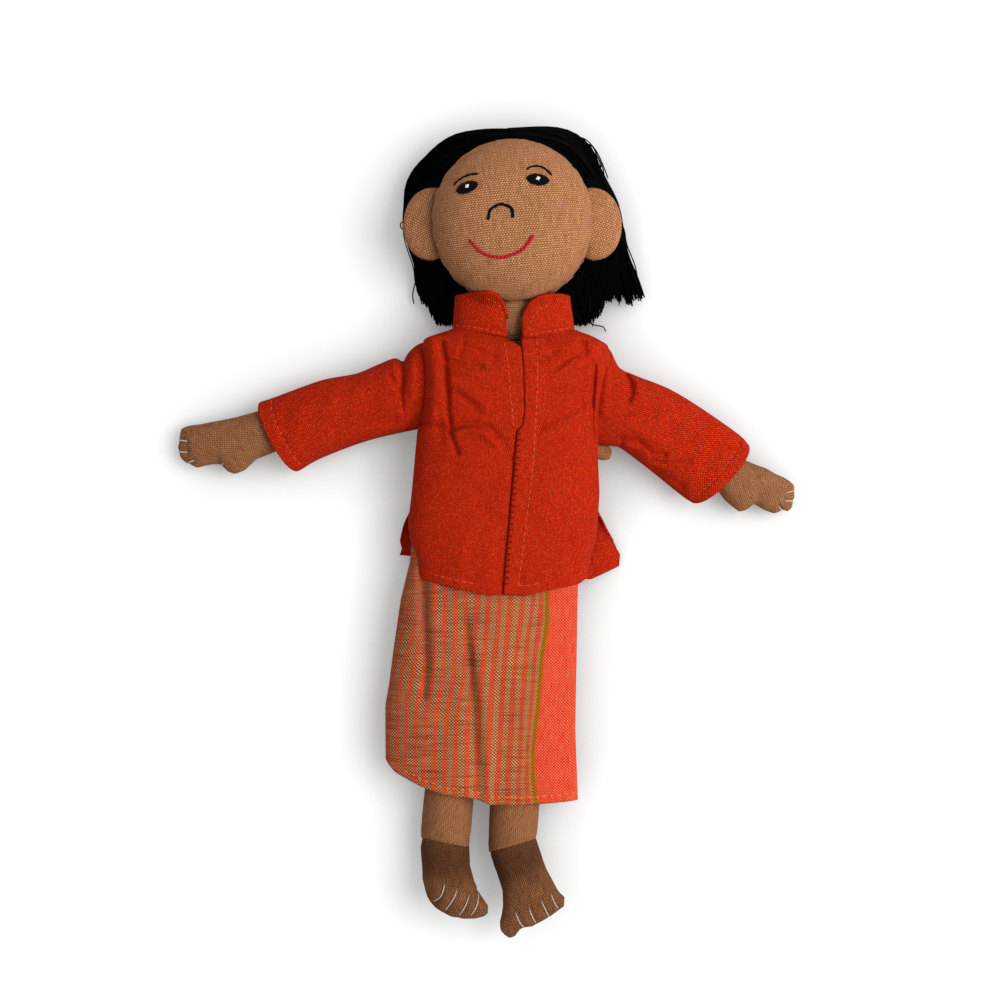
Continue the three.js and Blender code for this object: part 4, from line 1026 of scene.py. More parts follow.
skirt_finish = Finish("striped_skirt_cotton", Roughness=0.95, Specular_IOR_Level=0.08)
weave_high, weave_thread, warp_up, weft_rows, skirt_place = plain_weave(skirt_finish, 0.58, 0.56)
skirt_across, skirt_along, _ = skirt_finish.flat_cloth()
stray = skirt_finish.noise(skirt_finish.vector(skirt_across * 1.2, skirt_along * 0.05), 1.0, 2.0) - 0.5
from_olive = skirt_across + stray * 1.1
first_stripe, stripe_gap = 6.7, 3.82
stripe = ((from_olive - first_stripe) * (2 * math.pi / stripe_gap)).sum("COSINE") > 0.0
leftward = (skirt_across - 14) / 24
orange_run = (skirt_finish.noise(skirt_place, 0.11, 2.0) - 0.4) * 4
coral_warp = skirt_finish.mix(weave_thread, "941404", "da341c")
coral_weft = skirt_finish.mix(weave_thread, "ec4c2c", "ff9068")
coral_weft = skirt_finish.mix(orange_run * 0.6, coral_weft, "ff8a3c")
khaki_warp = skirt_finish.mix(leftward, "542608", "280e02")
khaki_warp = skirt_finish.mix(weave_thread * 0.5, khaki_warp, "7c4420")
khaki_weft = skirt_finish.mix(leftward, "f0a45e", "c88e60")
khaki_weft = skirt_finish.mix(weave_thread * 0.5, khaki_weft, "ffd4a8")
khaki_weft = skirt_finish.mix(orange_run * 0.3, khaki_weft, "ffac60")
weft_tint = skirt_finish.mix(stripe, khaki_weft, coral_weft)
weft_run = skirt_finish.noise(skirt_finish.vector(skirt_across * 0.06, skirt_along * 1.9), 1.0, 2.0, 0.7)
weft_tint = skirt_finish.mix((weft_run - 0.5) * 3.2 + 0.12, weft_tint, "602208")
striped = skirt_finish.mix(warp_up * 0.96 + 0.02, weft_tint, skirt_finish.mix(stripe, khaki_warp, coral_warp))
panel_low = skirt_finish.mix(weave_thread, "bc1402", "ea2c10")
panel_high = skirt_finish.mix(weave_thread, "ff4a28", "ff8e6a")
panel_warp = skirt_finish.mix(warp_up, panel_low, panel_high)
olive_warp = skirt_finish.mix(warp_up * 0.7 + weave_thread * 0.3, "5c2e00", "cc8c0c")
in_stripes = from_olive > 0.75
in_panel = from_olive < -0.85
tint = skirt_finish.mix(in_stripes, olive_warp, striped)
tint = skirt_finish.mix(in_panel, tint, panel_warp)
# Painted shade in the weave's gaps: off the thread crowns the colour goes towards dark brown.
crown = weave_high * 0.6 + weft_rows * 0.4
tint = skirt_finish.mix(crown, skirt_finish.mix(0.6, tint, "4a1206"), tint)
skirt_finish.show(tint, None, weave_high + weave_thread * 0.3, 0.12)

waist_x, waist_z = garment(waist_level, waist_angles, [[0, -23.3], [12, -22.7]], [[0, 35.9], [12, 36.5]],
                           [[0, 30.4], [12, 30.6]], [[0, 1.0], [12, 1.0]])
waist_z += 0.25 * np.sin(waist_angles * 9) * np.sin(waist_level[:, None] * 0.4)
waist_grid = np.stack([waist_x, waist_level[:, None] + 0 * waist_x, waist_z], -1)
waist = sew("waistband_cloth", waist_grid, skirt_finish, cloth=round_and_along(waist_grid) + [20, 0])
waist_thickness = 1.3
sheet(waist, closed(waist_grid), waist_thickness, "gathered", ["torso_cloth"])
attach(waist, "torso")
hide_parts("skirt_waistband")

# The skirt: one length of handwoven cotton, khaki and coral stripes with a plain coral end beyond an
# olive stripe, wrapped once round the hips and tucked on under its own front. The hem is turned up.
skirt_edge_left = [[-100, -38], [-86.7, -38.1], [-76.7, -38.1], [-66.3, -36.7], [-49.3, -34.9],
                   [-28.5, -32.2], [-13.2, -28.8], [0, -27.3]]
skirt_edge_right = [[-100, 35.1], [-73, 34.1], [-50, 34.5], [-21, 34.9], [0, 36.5]]
skirt_front = [[-100, 23.4], [-57, 24.6], [-24, 27], [0, 29]]
skirt_back = [[-23, 0.1], [-15.5, 1]]
skirt_hem = [[-38, -86], [-37, -87.5], [-34, -90.5], [-24, -95.5], [-15.7, -98.4], [-6, -99.4], [1.7, -101.9],
             [11.3, -102.3], [19, -101.9], [34.8, -101.3]]
crease_line = [[-100, -2.2], [-84.5, -2.9], [-66, -3.7], [-53.8, -4.8], [-29.4, -7.4], [0, -9]]
olive_line = [[-100.8, 18.5], [-90, 17.3], [-80.4, 17.3], [-64.5, 19.2], [-45.3, 20.7], [-33.9, 22.7],
              [-24.1, 22.6], [0, 22]]
wrap_start, wrap_end = math.radians(12), math.radians(420)


def step_up(value, low, high):
    """A smooth step from 0 at low to 1 at high."""
    t = np.clip((value - low) / (high - low), 0, 1)
    return t * t * (3 - 2 * t)


def skirt_folds(x, y):
    """Height of the folds on the skirt's front: the long crease, steep on its left-hand side, with the
    pleat beside it, the hollow by the side under the shirt, and slow unevenness."""
    from_crease = x - rounded(crease_line, y, 4)
    strong = step_up(-y, 26, 46) * (1 - 0.45 * step_up(-y, 82, 102))
    width = np.where(from_crease < 0, 3.2, 0.75)
    fold = -3.0 * strong * bell(from_crease, width) + strong * bell(from_crease - 3.2, 2.8)
    lines = [([[-23.4, -10], [-23.0, -35], [-22.4, -50], [-23.5, -62]], -2.2, 1.9),
             ([[-19.6, -8], [-19.2, -35], [-19.0, -52]], 0.9, 2.4),
             ([[28, -40], [27, -70], [29, -98]], -0.5, 2.5),
             ([[-14, -60], [-21, -96]], -0.5, 3.5),
             ([[7, -62], [4, -98]], -0.45, 2.8)]
    fold += ridges(x, y, lines) * (1 - step_up(-y, 96, 104) * 0.4)
    return fold + 0.22 * ripple(x, y * 0.6, 24, 21)


skirt_share = np.linspace(0, 1, 104)
skirt_level = -99.8 * skirt_share
skirt_turn = np.linspace(wrap_start, wrap_end, 350)[None] + 0 * skirt_level[:, None]
skirt_tuck = 1.6 * step_up(skirt_turn, math.radians(290), math.radians(350))
skirt_x, skirt_z = garment(skirt_level, skirt_turn, skirt_edge_left, skirt_edge_right,
                           skirt_front, skirt_back, inset=skirt_tuck)
skirt_hem_y = rounded(skirt_hem, skirt_x, 2)
skirt_y = skirt_share[:, None] * skirt_hem_y
on_top = step_up(skirt_z, 9, 15)
hem_fold = 2.8
near_hem = bell(skirt_y - skirt_hem_y - hem_fold, 0.7)
turned_up = step_up(skirt_y - skirt_hem_y, 3.4, 2.2)
skirt_z = skirt_z + on_top * (skirt_folds(skirt_x, skirt_y) + 0.3 * turned_up - 0.35 * near_hem)
skirt_z = np.maximum(skirt_z, 0.12 + skirt_tuck * 0.6)
skirt_grid = np.stack([skirt_x, skirt_y, skirt_z], -1)
skirt_reach = summed(steps(skirt_grid, 1))
olive_x = rounded(olive_line, skirt_y, 4)
stripe_rows = [-25.8, -40.6, -55.4, -70.2, -81.3, -92.4]
stripe_lines = [
    [17.6, 15.2, 14.2, 13.1, 12.9, 12.1], [13.7, 11.8, 10.2, 9.4, 8.6, 8.1], [9.2, 7.8, 6.4, 5.5, 4.9, 4.1],
    [5.2, 3.9, 2.3, 1.2, 0.7, 0.2], [1.0, -0.1, -1.9, -2.7, -3.3, -3.7], [-3.0, -4.3, -5.4, -6.9, -7.0, -7.2],
    [-7.5, -7.5, -8.0, -10.7, -11.4, -11.6], [-11.2, -11.3, -12.0, -14.6, -15.1, -15.4],
    [-15.1, -15.4, -15.8, -18.7, -19.1, -19.5],
    [-19.1, -19.1, -19.4, -22.2, -22.5, -23.1], [-22.0, -21.7, -22.9, -25.9, -26.2, -26.5],
    [-23.3, -23.9, -27.5, -29.6, -29.9, -30.2],
    [-24.9, -26.9, -31.3, -32.9, -33.1, -33.4], [-27.1, -31.0, -34.0, -35.9, -36.5, -36.8],
]
stripe_places = [rounded(np.column_stack([stripe_rows, line])[::-1], skirt_level, 6) for line in stripe_lines]
stripe_places = np.stack([rounded(olive_line, skirt_level, 4), *stripe_places], 1)[:, ::-1]
stripe_marks = np.concatenate([[0], first_stripe + stripe_gap * np.arange(len(stripe_lines))])[::-1]
last_stripe = stripe_places[:, :1]
on_front = (skirt_turn < math.pi) & (skirt_x > last_stripe)
front_across = np.stack([np.interp(x, row, stripe_marks) for x, row in zip(skirt_x, stripe_places)])
front_across = np.where(skirt_x > olive_x, olive_x - skirt_x, front_across)
over_front = slice(0, 150)
turned_at = np.array([np.interp(-at, -x, reach) for at, x, reach
                      in zip(last_stripe[:, 0], skirt_x[:, over_front], skirt_reach[:, over_front])])
round_across = stripe_marks[0] + skirt_reach - turned_at[:, None]
skirt_flat = np.stack([np.where(on_front, front_across, round_across), -skirt_y], -1)
skirt = sew("skirt_cloth", skirt_grid, skirt_finish, loop=False, cloth=skirt_flat, middle=(4, -50, 13))
skirt_thickness = 0.85
sheet(skirt, skirt_grid, skirt_thickness, "draped", ["torso_cloth", "waistband_cloth"])
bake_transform(skirt)
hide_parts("skirt")

skirt_cloud = skirt_grid[:, :170].reshape(-1, 3)
skirt_cloud = skirt_cloud[skirt_cloud[:, 2] > 11]
hem_thread = yarn("orange_hem_thread", "c84818", "ff7a30", 0.7, 0.9)
hem_x = np.linspace(-31, 34, 40)
hem_line = np.stack([hem_x, rounded(skirt_hem, hem_x, 2) + hem_fold + 0.15 * np.sin(hem_x * 0.9)], -1)
hem_spots = backstitch(hem_line, 2.8, skirt_cloud, 0.24, space=0.9)
hem_piece = stitches("skirt_hem_threads", hem_spots, 0.28, hem_thread)
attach(hem_piece, "lap")

# The shirt's body: two front panels and a back panel of fine red-orange cotton, seamed at shoulders and
# sides, slit at the hips, where the back's corners spread flat. The fronts are sewn under the placket.
shirt_finish = Finish("red_orange_cotton", Roughness=0.9, Specular_IOR_Level=0.06)
shirt_high, shirt_thread, shirt_up, _, shirt_place = plain_weave(shirt_finish, 0.45, 0.45, 0.3)
# Painted shade in the weave's gaps and under the top threads, and a painted highlight on their crowns.
shirt_low = shirt_finish.mix(shirt_thread, "3c0200", "760a00")
shirt_tint = shirt_finish.mix(shirt_thread, "b21602", "ff3c12")
shirt_tint = shirt_finish.mix(shirt_up * 0.8 + shirt_high * 0.2, shirt_low, shirt_tint)
# Painted glints: bright orange specks on the threads that lie on top.
painted_thread_glint = shirt_finish.noise(shirt_place, 1.2, 2.0, 0.8)
shirt_tint = shirt_finish.mix((painted_thread_glint - 0.5) * 4.0 * shirt_up, shirt_tint, "ff6430")
broad = shirt_finish.noise(shirt_place, 0.045, 2.0)
shirt_tint = shirt_finish.mix(broad * 0.3, shirt_tint, "7c0a00")
shirt_finish.show(shirt_tint, None, shirt_high + shirt_thread * 0.4, 0.08)
shirt_seam_thread = yarn("shirt_sewing_thread", "b42c10", "f86840", 0.8, 0.8, Specular_IOR_Level=0.1)
dark_seam_thread = yarn("dark_sewing_thread", "3c0602", "741006", 0.8, 0.8, Specular_IOR_Level=0.1)

shirt_edge_left = [[-28, -26], [-18, -26.4], [-10.8, -28.4], [2.5, -29.3], [14, -27.9], [37, -25.8],
                   [40, -24.8], [57.7, -23.6], [67, -24.2], [71.4, -23.4], [73.4, -18.4], [75.4, -12.6]]
shirt_edge_right = [[-28, 38], [-17.5, 38.6], [-5, 41.4], [14, 42.5], [28.3, 41.8], [40, 42.3], [47.9, 43],
                    [57, 45.4], [64, 46.8], [69.4, 45.6], [72.8, 40], [75.4, 33.8]]
shirt_front = [[-27, 29.4], [-8, 31.6], [10, 33], [36, 33.2], [62, 33.2], [69.5, 32.7], [72, 32.2],
               [74, 31.6]]
shirt_back = [[-27, 0.1], [62, 0.1], [69.5, 0.8], [72, 3], [74, 6]]
front_edge = [[-28, 6.2], [-19.4, 6.9], [14, 9.8], [36.4, 11.7], [38.4, 13.7], [44.2, 14.4], [57.7, 14.1],
              [71, 13.2], [78, 12.2]]
front_hem = [[-30, -9], [-27.7, -10], [-24.3, -18], [-13, -21], [0, -23.7], [15.6, -23.7], [26, -21.5],
             [34.7, -19.8], [39, -16.8], [42, -15]]
back_hem_line = [[-36, -9.6], [-28, -10.3], [10, -16], [39.7, -19.1], [51, -13.6]]
neck_seam = [[-30, 75.4], [-12.6, 74.8], [0, 72.8], [7, 71.4], [13.9, 70.9], [22, 72], [33, 74.2], [50, 75.4]]
shirt_level = np.concatenate([np.linspace(-24, 62, 132), np.linspace(62.6, 75.4, 36)])
seam_z, shirt_low_end, body_top, shoulder_rise = 13, 24, 62, 13.4


def shirt_folds(x, y):
    """Height of the creases on the shirt's front, each a line of points, with slow unevenness."""
    lines = [([[-16.2, 69], [-14.6, 58.1], [-13.9, 44.2], [-12.4, 33.2], [-10.4, 28.4]], -1.5, 1.0),
             ([[-20.6, 70], [-19.2, 56], [-19.0, 43]], 1.4, 3.0),
             ([[-17.4, 43], [-16.4, 34]], -0.9, 2.4),
             ([[-13.9, 62.2], [-8, 60.6], [-1.8, 59.6]], -1.0, 1.0), ([[-13, 59.4], [-3, 57.4]], 0.7, 1.6),
             ([[-12.8, 54.5], [-6, 50.6], [0, 45]], 0.75, 1.8), ([[-10, 50], [-4, 45.6]], -0.6, 1.4),
             ([[-8, 67.6], [-2, 65.4], [3, 63]], -0.6, 1.2),
             ([[-13.5, 36.6], [-8.6, 38.9], [-4.5, 39.3], [0.9, 38.0], [6.2, 32.8], [8.9, 26.4]], -1.2, 0.9),
             ([[-11.5, 35.4], [-6.5, 36.9], [-1, 35.6], [3.2, 31.6]], 1.0, 1.3),
             ([[-23.6, 70], [-23.0, 56], [-23.4, 46], [-24.2, 40]], -1.1, 0.6),
             ([[26.3, 60], [30, 62.6], [33.8, 65]], -0.9, 1.0), ([[35.4, 68.6], [36.4, 66]], -1.7, 1.7),
             ([[26, 57.6], [32, 62]], 0.5, 1.3), ([[20, 63], [26, 66.6]], -0.5, 1.3),
             ([[19.1, 37.9], [38.2, 47.5]], -0.6, 1.3), ([[22, 36.4], [37, 43.6]], 0.5, 1.6),
             ([[-24.5, 39.6], [-15, 37.9]], -1.2, 0.9),
             ([[40.3, 61], [39.4, 48], [39.6, 38], [40.7, 31]], -1.3, 0.7),
             ([[42.2, 58], [41.2, 46]], 0.9, 1.3),
             ([[37.8, 60], [37.2, 46], [37.8, 36]], 0.5, 1.2), ([[24, 30], [35, 33]], -0.4, 1.6),
             ([[-20, 22], [-12, 24]], -0.35, 2.0), ([[-4, 14], [2, 4]], -0.35, 2.2),
             ([[17, 70.5], [19.5, 61]], -0.4, 0.9), ([[22, 70.5], [25.5, 63]], -0.4, 0.9),
             ([[-8, 72], [-9.5, 64]], -0.35, 1.2), ([[2.5, 71], [3.5, 62]], -0.3, 1.2),
             ([[5.6, 4], [4.4, -21]], -0.5, 1.5), ([[31, -2], [33, -20]], -0.4, 1.8),
             ([[-8, -4], [-10, -20]], 0.35, 2.5)]
    return 1.45 * ridges(x, y, lines) + 0.2 * ripple(x * 0.8, y, 21, 31)


def shirt_surface(angles, hem, top=None):
    """The shirt's outer face at the angles given for each level; levels under zero reach down to the
    hem, and those over the body's top up to the neck seam."""
    x, z = garment(shirt_level, angles, shirt_edge_left, shirt_edge_right, shirt_front, shirt_back)
    level = shirt_level[:, None] + 0 * x
    edge = rounded(hem, x, 2)
    y = np.where(level < 0, level / shirt_low_end * -edge, level)
    if top is not None:
        over = (level - body_top) / shoulder_rise
        y = np.where(level > body_top, body_top + over * (rounded(top, x, 3) - body_top), y)
    from_hem = y - edge
    hem_shape = 0.3 * step_up(from_hem, 4.6, 3.4) - 0.3 * bell(from_hem - 3.9, 0.6)
    raised = step_up(z, 14, 20)
    z = z + raised * (shirt_folds(x, y) + hem_shape)
    return np.stack([x, y, z], -1)


def side_angle():
    """The angle below the horizontal at which the side seam runs, on every level."""
    middle, half = middle_half(rounded(shirt_back, shirt_level, 3), rounded(shirt_front, shirt_level, 3))
    return np.arcsin(np.clip(signed_power((middle - seam_z) / half, garment_power / 2), -1, 1))


def edge_angle(edge_x):
    """The angle at which the front of the shirt passes that x, on every level."""
    left, right = rounded(shirt_edge_left, shirt_level, 3), rounded(shirt_edge_right, shirt_level, 3)
    middle, half = middle_half(left, right)
    return np.arccos(signed_power((edge_x - middle) / half, garment_power / 2))


def between_angles(start, end, columns):
    """Columns spaced evenly from start to end, on every level."""
    return start[:, None] + (end - start)[:, None] * np.linspace(0, 1, columns)[None]


def front_angles(start, end, edge, columns):
    """Columns spaced evenly from start to end, the last fifth of them drawn over to the real edge."""
    last = step_up(np.linspace(0, 1, columns)[None], 0.8, 1)
    return between_angles(start, end, columns) + (edge - end)[:, None] * last


opening = rounded(front_edge, shirt_level, 1.0)
slit_gap = 0.9 * step_up(shirt_level, 35.6, 37.6) + 6.2 * step_up(shirt_level, 69, 76)
left_grid = shirt_surface(between_angles(-side_angle(), edge_angle(opening), 80), front_hem, neck_seam)
right_angles = front_angles(math.pi + side_angle(), edge_angle(opening - 0.6),
                            edge_angle(opening - slit_gap + 0.6), 90)
right_grid = shirt_surface(right_angles, front_hem, neck_seam)
under_flap = step_up(right_grid[..., 0], opening[:, None] - 1.6, opening[:, None] - 0.2)
right_grid[..., 2] -= 0.9 * (step_up(shirt_level, 37.5, 36.0)[:, None] * under_flap)
back_columns = 120
back_angles = between_angles(math.pi + side_angle(), 2 * math.pi - side_angle(), back_columns)
back_grid = shirt_surface(back_angles, back_hem_line)
sideways = np.linspace(-1, 1, back_columns)[None]
tail_out = step_up(np.abs(sideways), 0.62, 1.0) * np.clip((8 - back_grid[..., 1]) / 21.5, 0, 1)
back_grid[..., 0] += tail_out * np.where(sideways < 0, -8.2, 12.4)
tail_hem = rounded(back_hem_line, back_grid[..., 0], 2)
back_level = shirt_level[:, None]
back_grid[..., 1] = np.where(back_level < 0, back_level / shirt_low_end * -tail_hem, back_grid[..., 1])
tail_z = 1.2 + 1.4 * np.sin(back_grid[..., 1] * 0.4)
back_grid[..., 2] = np.maximum(back_grid[..., 2] * (1 - tail_out) + tail_z * tail_out, 0.12)


shirt_thickness, armhole_y, armhole_z = 0.7, 54, 12.5


def off_armhole(grid):
    """False for the faces within the armholes."""
    middle = (grid[1:, 1:] + grid[:-1, :-1]) / 2
    inside = ((middle[..., 1] - armhole_y) / 14) ** 2 + ((middle[..., 2] - armhole_z) / 7.6) ** 2 < 1
    return ~(inside & (np.abs(middle[..., 0] - midline(armhole_y)) > 24))


for name, grid, node in (("shirt_front_cloth_left", left_grid, "shirt_front_left"),
                         ("shirt_front_cloth_right", right_grid, "shirt_front_right"),
                         ("shirt_back_cloth", back_grid, "shirt_back")):
    panel = sew(name, grid, shirt_finish, loop=False, cloth=spread(grid), keep=off_armhole(grid),
                middle=(8, 25, 16))
    if grid is left_grid:
        left_front = panel
    else:
        sheet(panel, grid, shirt_thickness, "draped", ["torso_cloth"])
    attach(panel, "torso")
    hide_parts(node)

# The placket: the left front's folded edge, laid over the right front and stitched down along both
# sides from the slit to the hem. Above the slit it is free.
placket_width = [[-28, 5.0], [14, 6.8], [66, 8.6], [76, 8.8]]
shirt_cloud = np.concatenate([left_grid.reshape(-1, 3), right_grid.reshape(-1, 3)])
shirt_cloud = shirt_cloud[shirt_cloud[:, 2] > 20]
placket_level = np.linspace(-23.6, 70.6, 110)
placket_share = np.linspace(0, 1, 14)[None]
placket_x = rounded(front_edge, placket_level, 1.0)[:, None] - 0.25
placket_x = placket_x + rounded(placket_width, placket_level, 3)[:, None] * placket_share
placket_xy = np.stack([placket_x, placket_level[:, None] + 0 * placket_x], -1)
over_cloud = left_grid.reshape(-1, 3)
over_cloud = over_cloud[over_cloud[:, 2] > 20]
placket_grid = resting(placket_xy, over_cloud)
placket_grid[..., 2] += 0.62 - 0.58 * placket_share ** 1.5 - 0.35 * bell(placket_share, 0.05)
placket = sew("placket_cloth", placket_grid, shirt_finish, loop=False, cloth=spread(placket_grid),
              middle=(10, 25, 0))
placket_thickness = 0.5
thicken(placket, placket_thickness)
sheet(left_front, left_grid, shirt_thickness, "draped", ["torso_cloth"], with_pieces=[placket])
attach(placket, "torso")
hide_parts("shirt_placket")

placket_cloud = np.concatenate([placket_grid.reshape(-1, 3), shirt_cloud])
rows_light = [[[18.6, 70], [18.9, 62], [18.6, 46], [16.8, 20], [14.6, 2], [11.9, -20.5]],
              [[6.6, 69.4], [7.9, 62], [8.9, 50], [10.4, 37.5]],
              [[-20, -16.2], [-12.6, -17.9], [-4, -19.6]], [[11, -20.2], [15.6, -20.1], [20, -19.2]]]
stitch_length, stitch_space = 2.6, 0.9
light = [backstitch(row, stitch_length, placket_cloud, 0.1, stitch_space) for row in rows_light]
dark_y = np.arange(35.4, -21, -2.2)[:, None]
dark_x = rounded(front_edge, dark_y, 1.0) - 0.1 + np.linspace(0, 1.7, 5)[None]
dark = resting(np.stack([dark_x, dark_y + 0 * dark_x], -1), placket_grid.reshape(-1, 3), 0.3)
shirt_stitches = stitches("shirt_light_threads", np.concatenate(light), 0.19, shirt_seam_thread)
dark_stitches = stitches("shirt_dark_threads", dark, 0.24, dark_seam_thread)
for piece in (shirt_stitches, dark_stitches):
    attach(piece, "torso")

# The collar: a stand-up band of doubled cotton round the neck, with rounded front corners either side
# of the opening, top-stitched along its lower seam and its front edges.
collar_share = np.linspace(0, 1, 30)[:, None]
collar_columns, collar_start, collar_end = 170, math.radians(93.4), math.radians(445.4)
collar_edge_left = [[0, -12.8], [0.5, -12.2], [1, -11.2]]
collar_edge_right = [[0, 33.8], [0.5, 32.4], [1, 30.6]]
collar_front = [[0, 32.3], [0.5, 32.9], [1, 32.3]]
collar_back = [[0, 6], [1, 6.4]]
collar_turn = np.linspace(collar_start, collar_end, collar_columns)[None] + 0 * collar_share
collar_x, collar_z = garment(collar_share[:, 0], collar_turn, collar_edge_left, collar_edge_right,
                             collar_front, collar_back)
half_way = 15
column_reach = summed(np.hypot(np.diff(collar_x[half_way]), np.diff(collar_z[half_way])))[None]
from_end = column_reach[:, -1:] - column_reach
left_flap = rounded([[0, 78.6], [1.0, 82.8], [3, 85.5], [6, 86.8], [20, 87.1]], column_reach, 0.5)
right_flap = rounded([[0, 76.6], [1.4, 80.8], [3.4, 83.0], [7.8, 85.4], [16.6, 87]], from_end, 0.5)
seam_y = np.where(collar_z > 18, rounded(neck_seam, collar_x, 3) - 0.4, 75)
collar_y = seam_y + (np.minimum(left_flap, right_flap) - seam_y) * collar_share
from_head = np.hypot(collar_x - head_at[0], collar_y - head_at[1]) / head_radius
seam_dent = 0.5 * bell(collar_share - 0.12, 0.05)
collar_z = collar_z + 0.35 * np.sin(collar_x * 0.45 + 1) * collar_share - seam_dent
collar_z = collar_z + 0.25 * step_up(collar_share, 0.12, 0.3)
collar_z = collar_z + np.where(collar_z > 20, 5.4 * step_up(-from_head, -1.13, -0.93), 0)
collar_grid = np.stack([collar_x, collar_y, collar_z], -1)
collar_cloud = collar_grid[collar_grid[..., 2] > 26]
collar_rows = [[[-11.6, 75.8], [-4, 74.6], [3, 72.9], [5.8, 72.3]], [[15.4, 71.8], [22, 72.8], [31, 74.8]],
               [[5.4, 74], [5.9, 79], [4.4, 82.6], [0, 84.8]],
               [[16.2, 73], [16.4, 76.4], [19.4, 80.8], [23.4, 82.6]]]
collar_lines = [backstitch(row, 2.2, collar_cloud, 0.03, space=0.8) for row in collar_rows]
collar_stitches = stitches("collar_threads", np.concatenate(collar_lines), 0.15, shirt_seam_thread)
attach(collar_stitches, "torso")
collar = sew("collar_cloth", collar_grid, shirt_finish, loop=False, cloth=spread(collar_grid),
             middle=(10, 80, 18))
collar_thickness = 1.3
sheet(collar, collar_grid, collar_thickness, "folded", ["shirt_back_cloth"])
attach(collar, "torso")
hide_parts("shirt_collar")

# The sleeves: tubes of the same cotton sewn into the armholes and hemmed at the wrists, where they
# stand open round the arms. They crease at the shoulder and lie loosely on the arms.
sleeves = {
    "right": {
        "side": -1, "cuff": 3.4, "ring": (54.4, 16.4),
        "root": (-0.0189, 0.054, 0.0125), "bend_end": (-0.046, 0.048, 0.0125),
        "upper": [[-24.6, 70.8], [-28.2, 68.8], [-30.4, 65.2], [-31.6, 63.6], [-34.8, 64.7], [-42, 61.9],
                  [-49.3, 59], [-62.5, 56.5], [-80.3, 50.2], [-85.2, 48.7]],
        "lower": [[-24.6, 38.3], [-44.6, 33.7], [-62.5, 27.1], [-71.3, 22.2]],
        "folds": [([[-31.2, 65], [-30.8, 60], [-31.4, 52]], -1.5, 1.0),
                  ([[-36, 57.8], [-31.6, 50.6], [-31, 45]], -1.0, 0.9),
                  ([[-26, 41.5], [-30, 36.5]], -1.2, 1.3), ([[-34, 41], [-46, 40.4], [-56, 37]], -0.7, 1.8),
                  ([[-44, 52], [-70, 44]], 0.5, 3.5), ([[-27.4, 66], [-27, 50]], 0.9, 1.8)],
    },
    "left": {
        "side": 1, "cuff": 4.8, "ring": (50.8, 18.6),
        "root": (0.0375, 0.054, 0.0125), "bend_end": (0.062, 0.040, 0.0125),
        "upper": [[45.6, 70], [47.6, 66], [50.4, 61.0], [56.4, 58.2], [68.6, 53.5], [80.3, 46.7],
                  [94.7, 36.9], [98.6, 33.2]],
        "lower": [[42.6, 31.4], [48.6, 31.4], [52.0, 30], [63.1, 21.7], [74.2, 12.8], [77.5, 10.6]],
        "folds": [([[52.4, 58.4], [54, 55.4], [54.2, 51.4], [53, 48]], -1.5, 1.0),
                  ([[52.6, 61], [57, 54]], 0.9, 1.5),
                  ([[50.5, 33.6], [57, 33.2], [62, 28.4], [67, 28.2]], -1.3, 0.8),
                  ([[52, 31.4], [60, 29.4]], 0.9, 1.0),
                  ([[56, 37], [66, 32]], 0.6, 1.5), ([[62, 26], [68, 24.6], [76, 25.4]], -0.9, 1.0),
                  ([[60, 24.5], [74, 16]], -0.6, 1.2), ([[58, 50], [80, 36]], 0.5, 3.5),
                  ([[45, 60], [43.6, 44]], 0.9, 1.8)],
    },
}
sleeve_rows, sleeve_columns, cuff_row = 120, 96, 110
